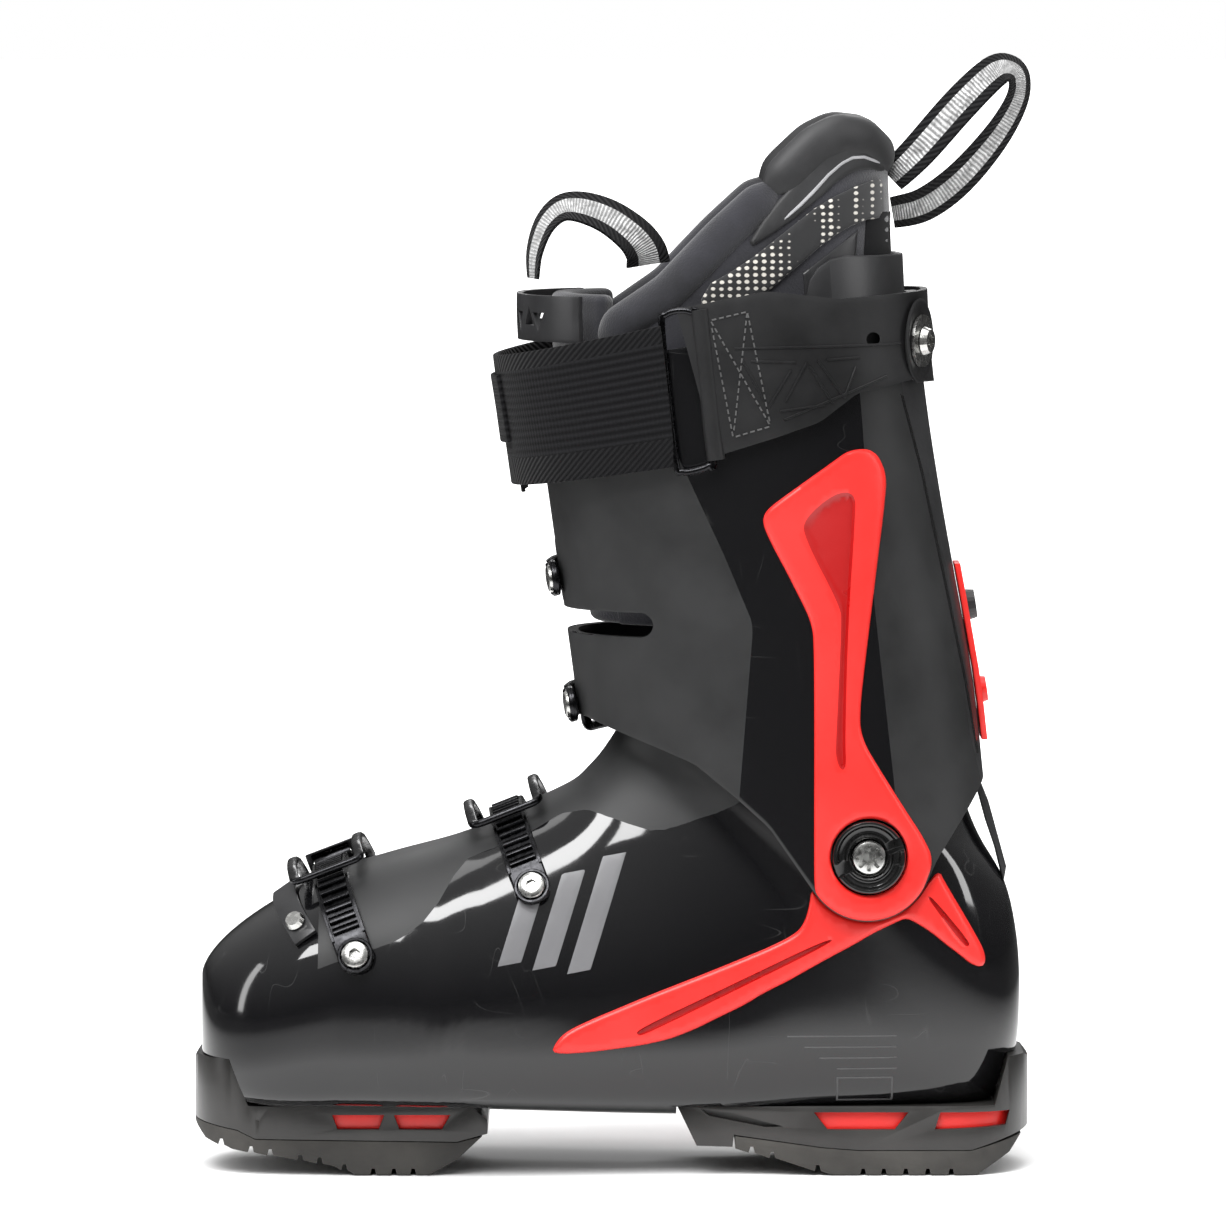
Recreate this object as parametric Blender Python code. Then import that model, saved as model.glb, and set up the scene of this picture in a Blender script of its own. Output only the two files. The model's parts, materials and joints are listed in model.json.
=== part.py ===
"""An alpine ski boot, right foot, standing on its sole.

Units are millimetres in the constants and metres in the scene. The toe points to -X, the inner side
of the foot faces -Y, and +Z is up. Every outside and inside surface comes from two loft tables, one for
the foot and one for the leg, read at different insets.
"""

import math

import bmesh
import bpy
from mathutils import Matrix, Vector
from mathutils.bvhtree import BVHTree

MM = 0.001
RING_POINTS = 24

# Sole
SOLE_LENGTH = 305.0
TOE_X = -SOLE_LENGTH / 2
HEEL_X = SOLE_LENGTH / 2
SOLE_HALF_WIDTH = 34.5
SOLE_TOP = 25.0
TREAD_TOP = 12.0
FIT_GAP = 0.35

# Ankle pivot
PIVOT_X = 92.9
PIVOT_Z = 117.4
CANT_RADIUS = 13.4
PIVOT_HOLE_RADIUS = 4.3

# Walls
SHELL_WALL = 4.5
CUFF_WALL = 4.0
LINER_INSET = 5.2
LINER_WALL = 6.5
SHELL_FLOOR = 31.0
LINER_FLOOR = 38.5
CUFF_LINER_INSET = 8.8

# Foot loft: instep point, sole or heel point, half width, height of the widest place from the instep
# end, and the roundness of the two ends. The sections fan from upright at the toe to level at the ankle.
FOOT = [
    ((-100.0, 108.6), (-100.0, 24.0), 53.0, 0.62, 2.6, 5.0),
    ((-78.0, 115.0), (-78.0, 24.0), 56.0, 0.64, 2.5, 5.0),
    ((-52.0, 122.5), (-52.0, 23.5), 55.5, 0.66, 2.3, 5.0),
    ((-28.0, 134.0), (-24.0, 22.5), 52.5, 0.68, 2.2, 5.0),
    ((-14.0, 141.0), (8.0, 21.0), 48.5, 0.66, 2.2, 4.6),
    ((-8.0, 146.5), (42.0, 20.5), 45.5, 0.62, 2.2, 4.6),
    ((-4.0, 151.0), (76.0, 22.0), 43.5, 0.58, 2.2, 4.4),
    ((-0.5, 156.0), (110.0, 22.5), 42.5, 0.56, 2.2, 4.0),
    ((2.0, 160.0), (138.0, 24.0), 42.0, 0.54, 2.2, 2.8),
    ((3.5, 163.5), (147.5, 40.0), 42.0, 0.52, 2.2, 2.5),
    ((5.0, 167.0), (149.5, 62.0), 42.5, 0.50, 2.2, 2.4),
    ((6.5, 170.0), (148.5, 84.0), 43.0, 0.50, 2.2, 2.2),
    ((8.0, 174.0), (144.0, 104.0), 43.0, 0.50, 2.2, 2.1),
    ((9.5, 178.0), (134.5, 121.0), 43.0, 0.50, 2.2, 2.1),
    ((11.0, 182.0), (129.0, 135.0), 43.0, 0.50, 2.2, 2.1),
    ((12.5, 187.0), (125.5, 150.0), 43.0, 0.50, 2.2, 2.2),
    ((15.5, 198.0), (120.0, 192.0), 43.0, 0.50, 2.2, 2.2),
]
TOE_TIP_X = -150.0
TOE_STATIONS = 6
TOE_TIP_TOP = 70.0
TOE_ROUNDNESS = 2.5
NOSE_FLOOR = 57.0
NOSE_FLOOR_SLOPE = 1.4

# Leg loft: height, front, rear, half width. The leg leans forward as the boot does at rest.
LEG = [
    (86.0, 10.0, 141.0, 50.0),
    (104.0, 4.0, 140.0, 50.5),
    (124.0, -3.0, 138.5, 51.0),
    (144.0, -8.0, 136.0, 51.5),
    (168.0, -12.2, 133.5, 52.0),
    (190.0, -15.2, 130.3, 53.0),
    (222.0, -19.6, 124.4, 55.5),
    (249.0, -23.4, 119.6, 58.0),
    (276.0, -27.2, 115.4, 60.0),
    (302.0, -30.7, 112.4, 61.0),
    (330.0, -30.0, 111.0, 60.0),
    (360.0, -20.0, 109.6, 57.0),
    (392.0, -6.0, 108.6, 54.0),
]
LEG_ROUNDNESS = 2.5

HEM = [(-60.0, 166.0), (-9.0, 166.0), (14.6, 157.3), (30.0, 151.0), (45.7, 138.2), (57.0, 128.0)]
HEM_BOSS_RADIUS = 23.5
HEM_BOSS_ANGLES = (212.0, 330.0)
HEM_REAR = [(118.0, 116.0), (136.0, 143.0), (175.0, 143.0)]
CUFF_TOP = [(175.0, 322.0), (111.0, 320.0), (60.0, 308.0), (0.0, 297.0), (-60.0, 296.0)]
CUFF_SLOT_HEIGHTS = (196.5, 205.5)
CUFF_SLOT_END = 15.0

# Buckles: section centre in the side view, lean of the section, ladder start, hook, lever hinge in degrees
# round the section from the top or front, towards the outer side of the foot.
BUCKLES = {
    "toe": {"centre": (-86.0, 66.0), "lean": 21.0, "start": -73.0, "hook": -33.0, "hinge": 32.0},
    "instep": {"centre": (-19.0, 82.0), "lean": 21.5, "start": -59.0, "hook": -25.0, "hinge": 50.0},
    "lower_cuff": {"centre": (45.0, 178.0), "lean": 98.0, "start": -9.0, "hook": 30.0, "hinge": 62.0},
    "upper_cuff": {"centre": (45.0, 225.0), "lean": 98.0, "start": -9.0, "hook": 27.0, "hinge": 57.0},
}
LADDER_WIDTH = 13.0
LADDER_GAP = 1.8
LADDER_BASE = 1.6
LADDER_TOOTH = 1.5
TOOTH_PITCH = 4.4
HINGE_HEIGHT = 5.8
HOOK_HEIGHT = 7.0
BAIL_HALF_WIDTH = 12.6
BAIL_RADIUS = 1.8
BAIL_REACH = 12.0
LEVER_LENGTH = 44.0
LEVER_HALF_WIDTH = 9.4
LEVER_CHEEK = 2.0
BASE_HALF_WIDTH = 7.0
PIN_RADIUS = 1.5
RUNNING_GAP = 0.1

# Strap rivet: height, and its place round the leg in steps of 3 degrees from the front
RIVET_HEIGHT = 303.0
RIVET_INDEX = 68

COLOURS = {
    "black_gloss": ((0.006, 0.006, 0.007), 0.12, 0.0),
    "black_satin": ((0.012, 0.012, 0.013), 0.45, 0.0),
    "black_rubber": ((0.015, 0.015, 0.015), 0.75, 0.0),
    "red_satin": ((0.30, 0.008, 0.010), 0.42, 0.0),
    "liner_fabric": ((0.010, 0.010, 0.012), 0.90, 0.0),
    "webbing": ((0.014, 0.014, 0.016), 0.85, 0.0),
    "dark_anodised": ((0.030, 0.030, 0.034), 0.28, 1.0),
    "polished_steel": ((0.62, 0.61, 0.58), 0.22, 1.0),
    "cork_board": ((0.020, 0.020, 0.022), 0.80, 0.0),
}


# ---- scene, materials and meshes

def clear_scene():
    for item in list(bpy.data.objects):
        bpy.data.objects.remove(item, do_unlink=True)


def new_collection(name, hidden=False):
    collection = bpy.data.collections.new(name)
    bpy.context.scene.collection.children.link(collection)
    collection.hide_render = hidden
    return collection


def material(piece, finish):
    colour, roughness, metallic = COLOURS[finish]
    made = bpy.data.materials.new(piece.name + "_" + finish)
    made.use_nodes = True
    shader = made.node_tree.nodes["Principled BSDF"]
    shader.inputs["Base Color"].default_value = (*colour, 1.0)
    shader.inputs["Roughness"].default_value = roughness
    shader.inputs["Metallic"].default_value = metallic
    piece.data.materials.append(made)


def mesh_from(bm, name, pivot):
    """Turns a bmesh in millimetres into a mesh in metres whose zero is the pivot."""
    bmesh.ops.translate(bm, vec=-Vector(pivot), verts=bm.verts)
    bmesh.ops.scale(bm, vec=(MM, MM, MM), verts=bm.verts)
    bmesh.ops.recalc_face_normals(bm, faces=bm.faces)
    mesh = bpy.data.meshes.new(name)
    bm.to_mesh(mesh)
    bm.free()
    return mesh


def add_piece(name, bm, finish, pivot=(0.0, 0.0, 0.0)):
    piece = bpy.data.objects.new(name, mesh_from(bm, name, pivot))
    piece.location = Vector(pivot) * MM
    PARTS.objects.link(piece)
    material(piece, finish)
    return piece


def add_cutter(name, bm):
    cutter = bpy.data.objects.new(name, mesh_from(bm, name, (0.0, 0.0, 0.0)))
    cutter.display_type = "WIRE"
    cutter.hide_render = True
    CUTTERS.objects.link(cutter)
    return cutter


def add_wire(name, points, radius, finish, pivot, roundness=2):
    """A closed wire through points in millimetres."""
    curve = bpy.data.curves.new(name, "CURVE")
    curve.dimensions = "3D"
    curve.bevel_depth = radius * MM
    curve.bevel_resolution = roundness
    curve.use_fill_caps = True
    spline = curve.splines.new("POLY")
    spline.points.add(len(points) - 1)
    for target, point in zip(spline.points, points):
        target.co = (*((Vector(point) - Vector(pivot)) * MM), 1.0)
    spline.use_cyclic_u = True
    wire = bpy.data.objects.new(name, curve)
    wire.location = Vector(pivot) * MM
    PARTS.objects.link(wire)
    material(wire, finish)


def boolean(piece, cutter, operation):
    modifier = piece.modifiers.new(operation.title() + " " + cutter.name, "BOOLEAN")
    modifier.operation = operation
    modifier.solver = "EXACT"
    modifier.object = cutter
    return piece


def loft(rings, closed=False):
    """A solid through rings of equal length, capped at both ends unless it closes on itself."""
    bm = bmesh.new()
    rows = [[bm.verts.new(point) for point in ring] for ring in rings]
    pairs = list(zip(rows, rows[1:])) + ([(rows[-1], rows[0])] if closed else [])
    count = len(rows[0])
    for low, high in pairs:
        for i in range(count):
            j = (i + 1) % count
            bm.faces.new((low[i], low[j], high[j], high[i]))
    if not closed:
        bm.faces.new(rows[0])
        bm.faces.new(rows[-1])
    return bm


def prism(outline, low, high, axis="Y"):
    """A side-view outline in X and Z run across Y, or a plan outline in X and Y run up Z."""
    if axis == "Y":
        ends = [[(x, level, z) for x, z in outline] for level in (low, high)]
    else:
        ends = [[(x, y, level) for x, y in outline] for level in (low, high)]
    return loft(ends)


def cylinder(start, end, radius, sides=24, end_radius=None):
    """A cylinder or cone between two points."""
    bm = bmesh.new()
    start, end = Vector(start), Vector(end)
    bmesh.ops.create_cone(bm, cap_ends=True, segments=sides, radius1=radius,
                          radius2=radius if end_radius is None else end_radius, depth=(end - start).length)
    turn = (end - start).to_track_quat("Z", "Y").to_matrix().to_4x4()
    bmesh.ops.transform(bm, matrix=Matrix.Translation((start + end) / 2) @ turn, verts=bm.verts)
    return bm


def joined(*parts):
    """One bmesh holding several separate closed bodies, used as a cutter."""
    whole = bmesh.new()
    for part in parts:
        copy = bpy.data.meshes.new("part")
        part.to_mesh(copy)
        part.free()
        whole.from_mesh(copy)
        bpy.data.meshes.remove(copy)
    return whole


def arc(centre, radius, start, end, steps):
    turn = [math.radians(start + (end - start) * i / steps) for i in range(steps + 1)]
    return [(centre[0] + radius * math.cos(a), centre[1] + radius * math.sin(a)) for a in turn]


# ---- the two lofts

def section(top, bottom, half_width, widest, top_round, bottom_round, inset=0.0, count=RING_POINTS, floor=-1.0):
    """A ring in the plane through two profile points and Y, made of two half superellipses. It reaches no
    lower than the floor."""
    a, b = Vector((top[0], 0, top[1])), Vector((bottom[0], 0, bottom[1]))
    along = (b - a).normalized()
    middle = a.lerp(b, widest)
    reach = [(middle - a).length - inset, (b - middle).length - inset]
    if (middle + along * reach[1]).z < floor:
        reach[1] = (middle.z - floor) / -along.z
    ring = []
    for i in range(count):
        turn = 2 * math.pi * i / count
        upper = math.cos(turn) > 0
        power = 2 / (top_round if upper else bottom_round)
        run = abs(math.cos(turn)) ** power * (-reach[0] if upper else reach[1])
        side = math.copysign(abs(math.sin(turn)) ** power, math.sin(turn)) * (half_width - inset)
        ring.append(middle + along * run + Vector((0, side, 0)))
    return ring


def smooth_stations(stations, steps=2):
    """Catmull-Rom reading of a table of number tuples, with the table's rows kept."""
    flat = [[n for cell in row for n in (cell if isinstance(cell, tuple) else (cell,))] for row in stations]
    read = []
    for i in range(len(flat) - 1):
        p0, p1, p2, p3 = flat[max(i - 1, 0)], flat[i], flat[i + 1], flat[min(i + 2, len(flat) - 1)]
        for k in range(steps):
            t = k / steps
            read.append([0.5 * (2 * b + (c - a) * t + (2 * a - 5 * b + 4 * c - d) * t * t
                                + (3 * b - a - 3 * c + d) * t ** 3) for a, b, c, d in zip(p0, p1, p2, p3)])
    return read + [flat[-1]]


def floor_at(x, level):
    """The inside floor, which climbs over the toe lug."""
    nose = NOSE_FLOOR + 0.4 * (level - SHELL_FLOOR) - NOSE_FLOOR_SLOPE * (x - TOE_TIP_X)
    return max(level, nose) if level else -1.0


def toe_rings(inset, level):
    """The rounded nose ahead of the first foot station."""
    (root_x, root_top), (_, root_low), width, widest, top_round, low_round = FOOT[0]
    length = root_x - TOE_TIP_X - inset
    rings = []
    for i in range(TOE_STATIONS):
        turn = math.radians(8 + 82 * i / TOE_STATIONS)
        x = root_x - length * math.cos(turn) ** (2 / TOE_ROUNDNESS)
        share = math.sin(turn) ** (2 / TOE_ROUNDNESS)
        top = TOE_TIP_TOP + (root_top - TOE_TIP_TOP) * (1 - ((root_x - x) / (root_x - TOE_TIP_X)) ** 1.5)
        low = root_low + 16 * (1 - share) ** 1.5
        rings.append(section((x, top), (x, low), inset + (width - inset) * share, widest, top_round, low_round,
                             inset, floor=floor_at(x, level)))
    return rings


def foot_rings(inset=0.0, level=0.0, steps=1):
    rows = smooth_stations(FOOT, steps)
    return toe_rings(inset, level) + [
        section(row[0:2], row[2:4], *row[4:8], inset=inset, floor=floor_at(row[0], level)) for row in rows]


def leg_ring(height, inset=0.0, count=RING_POINTS):
    rows = smooth_stations(LEG, 8)
    above = next((k for k, row in enumerate(rows) if row[0] >= height), len(rows) - 1)
    high, low = rows[above], rows[max(above - 1, 0)]
    share = 0.0 if high is low else (height - low[0]) / (high[0] - low[0])
    _, front, rear, width = [a + (b - a) * share for a, b in zip(low, high)]
    return section((front, height), (rear, height), width, 0.5, LEG_ROUNDNESS, LEG_ROUNDNESS, inset, count)


def leg_rings(low, high, inset=0.0):
    inner = [row[0] for row in LEG if low + 4 < row[0] < high - 4]
    return [leg_ring(height, inset) for height in [low, *inner, high]]


def hollow(name, outer, inner, finish, keep, pivot=(0.0, 0.0, 0.0)):
    """A shell between two lofts, trimmed to a side-view outline."""
    piece = add_piece(name, outer, finish, pivot)
    boolean(piece, add_cutter(name + "_cavity", inner), "DIFFERENCE")
    return boolean(piece, add_cutter(name + "_outline", prism(keep, -90, 90)), "INTERSECT")


# ---- shells

def make_lower_shell():
    rim = [(-0.5, 162.0), (20.0, 166.0), (45.0, 174.0), (70.0, 182.0), (110.0, 183.0), (145.0, 172.0)]
    keep = ([(TOE_X - 10, 42.5 + FIT_GAP), (-138.5, 42.5 + FIT_GAP), (-131.5, SOLE_TOP + FIT_GAP),
             (-44.4, SOLE_TOP + FIT_GAP), (-44.4, 15.0), (23.5, 15.0), (23.6, SOLE_TOP + FIT_GAP),
             (139.0, SOLE_TOP + FIT_GAP), (144.0, 42.5 + FIT_GAP), (HEEL_X + 10, 42.5 + FIT_GAP)]
            + [(HEEL_X + 10, 172.0)] + rim[::-1] + [(TOE_X - 10, 162.0)])
    cavity = foot_rings(SHELL_WALL, SHELL_FLOOR)
    shell = hollow("lower_shell", loft(foot_rings(steps=2)), loft(cavity), "black_gloss", keep)
    axle = cylinder((PIVOT_X, -70, PIVOT_Z), (PIVOT_X, 70, PIVOT_Z), PIVOT_HOLE_RADIUS, 20)
    boolean(shell, add_cutter("pivot_drill", axle), "DIFFERENCE")


def make_boot_board():
    board = add_piece("boot_board", loft(foot_rings(SHELL_WALL + 0.6, SHELL_FLOOR + 0.4)), "cork_board")
    plan = [(-117, -60), (150, -60), (150, 60), (-117, 60)]
    boolean(board, add_cutter("boot_board_slab", prism(plan, SHELL_FLOOR, LINER_FLOOR - 0.5, "Z")), "INTERSECT")


def make_liner_foot():
    keep = [(TOE_X, 20.0), (HEEL_X, 20.0), (HEEL_X, 146.0), (TOE_X, 146.0)]
    cavity = foot_rings(LINER_INSET + LINER_WALL, LINER_FLOOR + LINER_WALL)
    hollow("liner_foot", loft(foot_rings(LINER_INSET, LINER_FLOOR)), loft(cavity), "liner_fabric", keep)


def make_footbed():
    low = LINER_FLOOR + LINER_WALL + FIT_GAP
    bed = add_piece("footbed", loft(foot_rings(LINER_INSET + LINER_WALL + 0.6, low)), "cork_board")
    plan = [(-122, -60), (140, -60), (140, 60), (-122, 60)]
    boolean(bed, add_cutter("footbed_slab", prism(plan, low - 4, low + 4.5, "Z")), "INTERSECT")


def cuff_outline():
    boss = arc((PIVOT_X, PIVOT_Z), HEM_BOSS_RADIUS, *HEM_BOSS_ANGLES, 10)
    return HEM + boss + HEM_REAR + CUFF_TOP


def make_cuff():
    cuff = hollow("cuff", loft(leg_rings(87, 330)), loft(leg_rings(86.5, 331, CUFF_WALL)), "black_gloss",
                  cuff_outline(), (PIVOT_X, 0, PIVOT_Z))
    low, high = CUFF_SLOT_HEIGHTS
    middle, radius = (low + high) / 2, (high - low) / 2
    slot = [(-60, high), (-60, low)] + arc((CUFF_SLOT_END - radius, middle), radius, -90, 90, 8)
    boolean(cuff, add_cutter("front_slot", prism(slot, -80, 80)), "DIFFERENCE")
    disc = cylinder((PIVOT_X, -70, PIVOT_Z), (PIVOT_X, 70, PIVOT_Z), CANT_RADIUS + 0.4, 32)
    boolean(cuff, add_cutter("cant_holes", disc), "DIFFERENCE")


def make_liner_leg():
    collar = [(14.0, 196.0), (120.0, 196.0), (115.0, 372.0), (100.0, 381.0), (92.0, 385.0), (82.0, 386.0),
              (73.0, 381.5), (50.0, 360.0), (29.0, 338.0), (1.5, 315.0)]
    hollow("liner_cuff", loft(leg_rings(195, 390, CUFF_LINER_INSET)),
           loft(leg_rings(194, 391, CUFF_LINER_INSET + LINER_WALL + 1)), "liner_fabric", collar)
    tongue = [(-40.0, 170.0), (14.0, 170.0), (13.0, 196.0), (0.5, 314.0), (-2.0, 321.0), (-40.0, 323.0)]
    hollow("liner_tongue", loft(leg_rings(169, 326, CUFF_LINER_INSET)),
           loft(leg_rings(168, 327, CUFF_LINER_INSET + LINER_WALL + 1)), "liner_fabric", tongue)


def make_liner_ankle():
    rows = [(149.0, 15.0, 117.0, 36.0), (172.0, 17.0, 113.0, 36.0), (195.0, 17.0, 108.0, 38.0)]
    outer, inner = [[section((front, z), (rear, z), width, 0.5, 2.2, 2.2, inset, 20)
                     for z, front, rear, width in rows] for inset in (0.0, LINER_WALL)]
    inner[0] = [point + Vector((0, 0, -1)) for point in inner[0]]
    inner[-1] = [point + Vector((0, 0, 1)) for point in inner[-1]]
    ankle = add_piece("liner_ankle", loft(outer), "liner_fabric")
    boolean(ankle, add_cutter("liner_ankle_cavity", loft(inner)), "DIFFERENCE")


def make_spoiler():
    top = arc((84.0, 320.0), 14.0, 180, 90, 4)
    outline = [(70.0, 262.0), (125.0, 262.0), (125.0, 334.0)] + top[::-1]
    hollow("spoiler", loft(leg_rings(260, 336, CUFF_WALL + 0.6)), loft(leg_rings(259, 337, CUFF_WALL + 3.8)),
           "black_satin", outline)


# ---- sole

def plan_outline(front, rear, half_width, nose_front, nose_rear):
    """A plan outline with a round end of the given length at the front, the rear or both."""
    outline = []
    for sign, tip, length in ((-1, front, nose_front), (1, rear, nose_rear)):
        if not length:
            outline += [(tip, sign * -half_width), (tip, sign * half_width)]
            continue
        for i in range(13):
            turn = math.radians(-90 + 15 * i)
            run = abs(math.cos(turn)) ** 0.8 * length
            side = math.copysign(abs(math.sin(turn)) ** 0.8, math.sin(turn)) * half_width
            outline.append((tip - sign * length + sign * run, side * sign))
    return outline


def sole_piece(name, profile, plan, finish):
    piece = add_piece(name, prism(plan, -5, 60, "Z"), finish)
    return boolean(piece, add_cutter(name + "_profile", prism(profile, -60, 60)), "INTERSECT")


def windows(block, spans, low, high):
    """Slots right across a sole block, each filled by a coloured damper."""
    for k, (start, end) in enumerate(spans):
        slant = 2.0
        outline = [(start, high), (end, high), (end - slant, low), (start + slant / 2, low)]
        boolean(block, add_cutter(block.name + "_window_%d" % k, prism(outline, -50, 50)), "DIFFERENCE")
        g = FIT_GAP
        inner = [(start + g, high - g), (end - 1.5 * g, high - g), (end - slant - g, low + g),
                 (start + slant / 2 + 1.5 * g, low + g)]
        name = block.name.replace("sole_block", "damper") + ("_front", "_rear")[k]
        add_piece(name, prism(inner, -SOLE_HALF_WIDTH + 1.2, SOLE_HALF_WIDTH - 1.2), "red_satin")


def grooved(profile_low, places, depth=2.2, width=2.4):
    """A bottom line from front to rear with a small notch at each place."""
    line = []
    for (x0, z0), (x1, z1) in zip(profile_low, profile_low[1:]):
        line.append((x0, z0))
        for x in places:
            if x0 + width < x < x1 - width:
                for shift, rise in ((-width / 2, 0), (0, depth), (width / 2, 0)):
                    line.append((x + shift, z0 + (z1 - z0) * (x + shift - x0) / (x1 - x0) + rise))
    return line + [profile_low[-1]]


def make_toe_sole():
    plan = plan_outline(TOE_X, -45.0, SOLE_HALF_WIDTH, 34.0, 0)
    seam = [(TOE_X, 18.5), (-136.0, 16.0), (-129.5, TREAD_TOP + 1), (-56.0, TREAD_TOP), (-45.0, 15.0)]
    g = FIT_GAP
    block = sole_piece("toe_sole_block", seam[:-1] + [(-45.0, 15.0), (-45.0, SOLE_TOP), (-132.0, SOLE_TOP),
                       (-139.0, 42.0), (-151.0, 42.0), (TOE_X, 40.0)], plan, "black_satin")
    windows(block, [(-101.5, -82.5), (-79.0, -58.5)], 16.6, 21.8)
    low = grooved([(-148.0, 12.0), (-138.0, 9.0), (-120.0, 6.5), (-101.0, 3.2), (-93.0, 0.0), (-66.0, 0.0),
                   (-56.0, 5.5), (-47.0, 14.0)], [-127.0, -111.0, -97.0, -86.5, -72.0])
    sole_piece("toe_tread", [(TOE_X, 17.0)] + low + [(-56.0, TREAD_TOP - g), (-129.4, TREAD_TOP + 1 - g),
               (-136.0, 16 - g), (TOE_X, 18.5 - g)], plan, "black_rubber")


def make_heel_sole():
    plan = plan_outline(24.0, HEEL_X, SOLE_HALF_WIDTH, 0, 30.0)
    top = SOLE_TOP
    block = sole_piece("heel_sole_block", [(24.0, top), (31.0, 10.6), (44.0, 10.2), (44.6, 14.6), (77.0, 10.0),
                       (90.0, 9.0), (131.0, 9.0), (149.5, 14.6), (HEEL_X, 15.5), (HEEL_X, 40.5), (150.5, 42.5),
                       (144.4, 42.5), (139.4, top)], plan, "black_satin")
    windows(block, [(74.0, 107.5), (118.5, 143.5)], 16.4, 22.4)
    low = grooved([(45.0, 9.6), (64.0, 4.6), (70.0, 2.6), (80.0, 0.0), (133.0, 0.0), (145.0, 7.5), (149.4, 13.5)],
                  [58.5, 75.0, 91.5, 107.0, 123.5])
    g = FIT_GAP
    sole_piece("heel_tread", low + [(131.0, 9 - g), (90.0, 9 - g), (77.0, 10 - g), (45.0, 14.4 - g)], plan,
               "black_rubber")


# ---- pivot and spine

def make_pivot(side, sign):
    y = 45.6
    centre = Vector((PIVOT_X, 0, PIVOT_Z))
    at = lambda reach: centre + Vector((0, sign * reach, 0))
    disc = add_piece("cant_disc_" + side, cylinder(at(y), at(52.2), CANT_RADIUS, 32), "black_gloss", at(y))
    boolean(disc, add_cutter("cant_bore_" + side, cylinder(at(40), at(60), PIVOT_HOLE_RADIUS + 0.1, 20)),
            "DIFFERENCE")
    boolean(disc, add_cutter("cant_dish_" + side, cylinder(at(50.4), at(60), 8.4, 24)), "DIFFERENCE")
    bolt = add_piece("pivot_bolt_" + side, cylinder(at(40.2), at(51.2), PIVOT_HOLE_RADIUS - 0.3, 20),
                     "polished_steel", at(y))
    boolean(bolt, add_cutter("pivot_head_" + side, cylinder(at(50.7), at(53.4), 6.1, 24, 5.4)), "UNION")
    hexagon = cylinder(at(51.8), at(56), 3.0, 6)
    boolean(bolt, add_cutter("pivot_socket_" + side, hexagon), "DIFFERENCE")


def spine_line(height, offset):
    """A point on the rear centre line of the cuff, a given distance outside it."""
    ring = leg_ring(height)
    return max(point.x for point in ring) + offset, height


def make_spine():
    def blade(name, low, high, inner, outer, half_width, finish):
        heights = [low + (high - low) * i / 5 for i in range(6)]
        outline = [spine_line(h, inner) for h in heights] + [spine_line(h, outer) for h in heights[::-1]]
        return add_piece(name, prism(outline, -half_width, half_width), finish)

    insert = blade("spine_insert", 156.5, 221.0, 0.4, 2.6, 9.0, "red_satin")
    seats = []
    for name, height, radius, reach in (("spine_bolt_upper", 205.0, 6.0, 5.6), ("spine_bolt_lower", 174.0, 5.2, 4.6)):
        x, z = spine_line(height, 0)
        lean = Vector((1.0, 0.0, 0.15)).normalized()
        point = Vector((x, 0, z))
        head = cylinder(point + lean * 1.0, point + lean * reach, radius, 24, radius * 0.86)
        bolt = add_piece(name, head, "black_gloss" if reach > 5 else "red_satin", point)
        boolean(bolt, add_cutter(name + "_socket", cylinder(point + lean * (reach - 1.4), point + lean * 9, 2.4, 6)),
                "DIFFERENCE")
        seats.append(cylinder(point - lean * 3, point + lean * 8, radius + FIT_GAP, 24))
    boolean(insert, add_cutter("spine_seats", joined(*seats)), "DIFFERENCE")
    tail = [(148.6, 104.0), (145.6, 116.0), (142.2, 126.0), (139.2, 137.0), (137.6, 140.5), (140.4, 140.5),
            (143.0, 134.0), (146.4, 122.0), (149.6, 110.0)]
    add_piece("spine_tail", prism(tail, -8.0, 8.0), "black_satin")


# ---- buckles

def surface_path(tree, centre, lean, start, end, count=60):
    """Where a leaning section plane meets an outside surface: points and outward normals in the plane's own
    two directions, Y and up, from start to end degrees."""
    up = Vector((-math.sin(math.radians(lean)), 0, math.cos(math.radians(lean))))
    origin = Vector((centre[0], 0, centre[1]))
    hits = []
    for i in range(count + 1):
        turn = math.radians(start + (end - start) * i / count)
        way = up * math.cos(turn) + Vector((0, math.sin(turn), 0))
        far = origin + way * 400
        hit = tree.ray_cast(far, -way)[0]
        hits.append(Vector((hit.y, (hit - origin).dot(up))))
    return origin, up, hits


class SectionFrame:
    """Distances along a section path and heights above it, turned into places in the scene."""

    def __init__(self, tree, centre, lean):
        self.origin, self.up, self.points = surface_path(tree, centre, lean, -100, 130, 92)
        self.across = Vector((math.cos(math.radians(lean)), 0, math.sin(math.radians(lean))))
        self.runs = [0.0]
        for a, b in zip(self.points, self.points[1:]):
            self.runs.append(self.runs[-1] + (b - a).length)

    def run_at(self, degrees):
        return self.runs[round((degrees + 100) * 92 / 230)]

    def at(self, run, height, side=0.0):
        k = next((i for i, r in enumerate(self.runs) if r > run), len(self.runs) - 1)
        low, high = max(k - 4, 0), min(k + 3, len(self.points) - 1)
        tangent = (self.points[high] - self.points[low]).normalized()
        share = (run - self.runs[k - 1]) / (self.runs[k] - self.runs[k - 1])
        flat = self.points[k - 1].lerp(self.points[k], share) + Vector((-tangent.y, tangent.x)) * height
        return self.origin + Vector((0, flat.x, 0)) + self.up * flat.y + self.across * side

    def strip(self, runs, lows, highs, half_width):
        """A band along the path, with a low and a high height at each run."""
        rings = [[self.at(run, low, -half_width), self.at(run, low, half_width),
                  self.at(run, high, half_width), self.at(run, high, -half_width)]
                 for run, low, high in zip(runs, lows, highs)]
        return loft(rings)


def spread(start, end, count):
    return [start + (end - start) * i / (count - 1) for i in range(count)]


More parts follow.
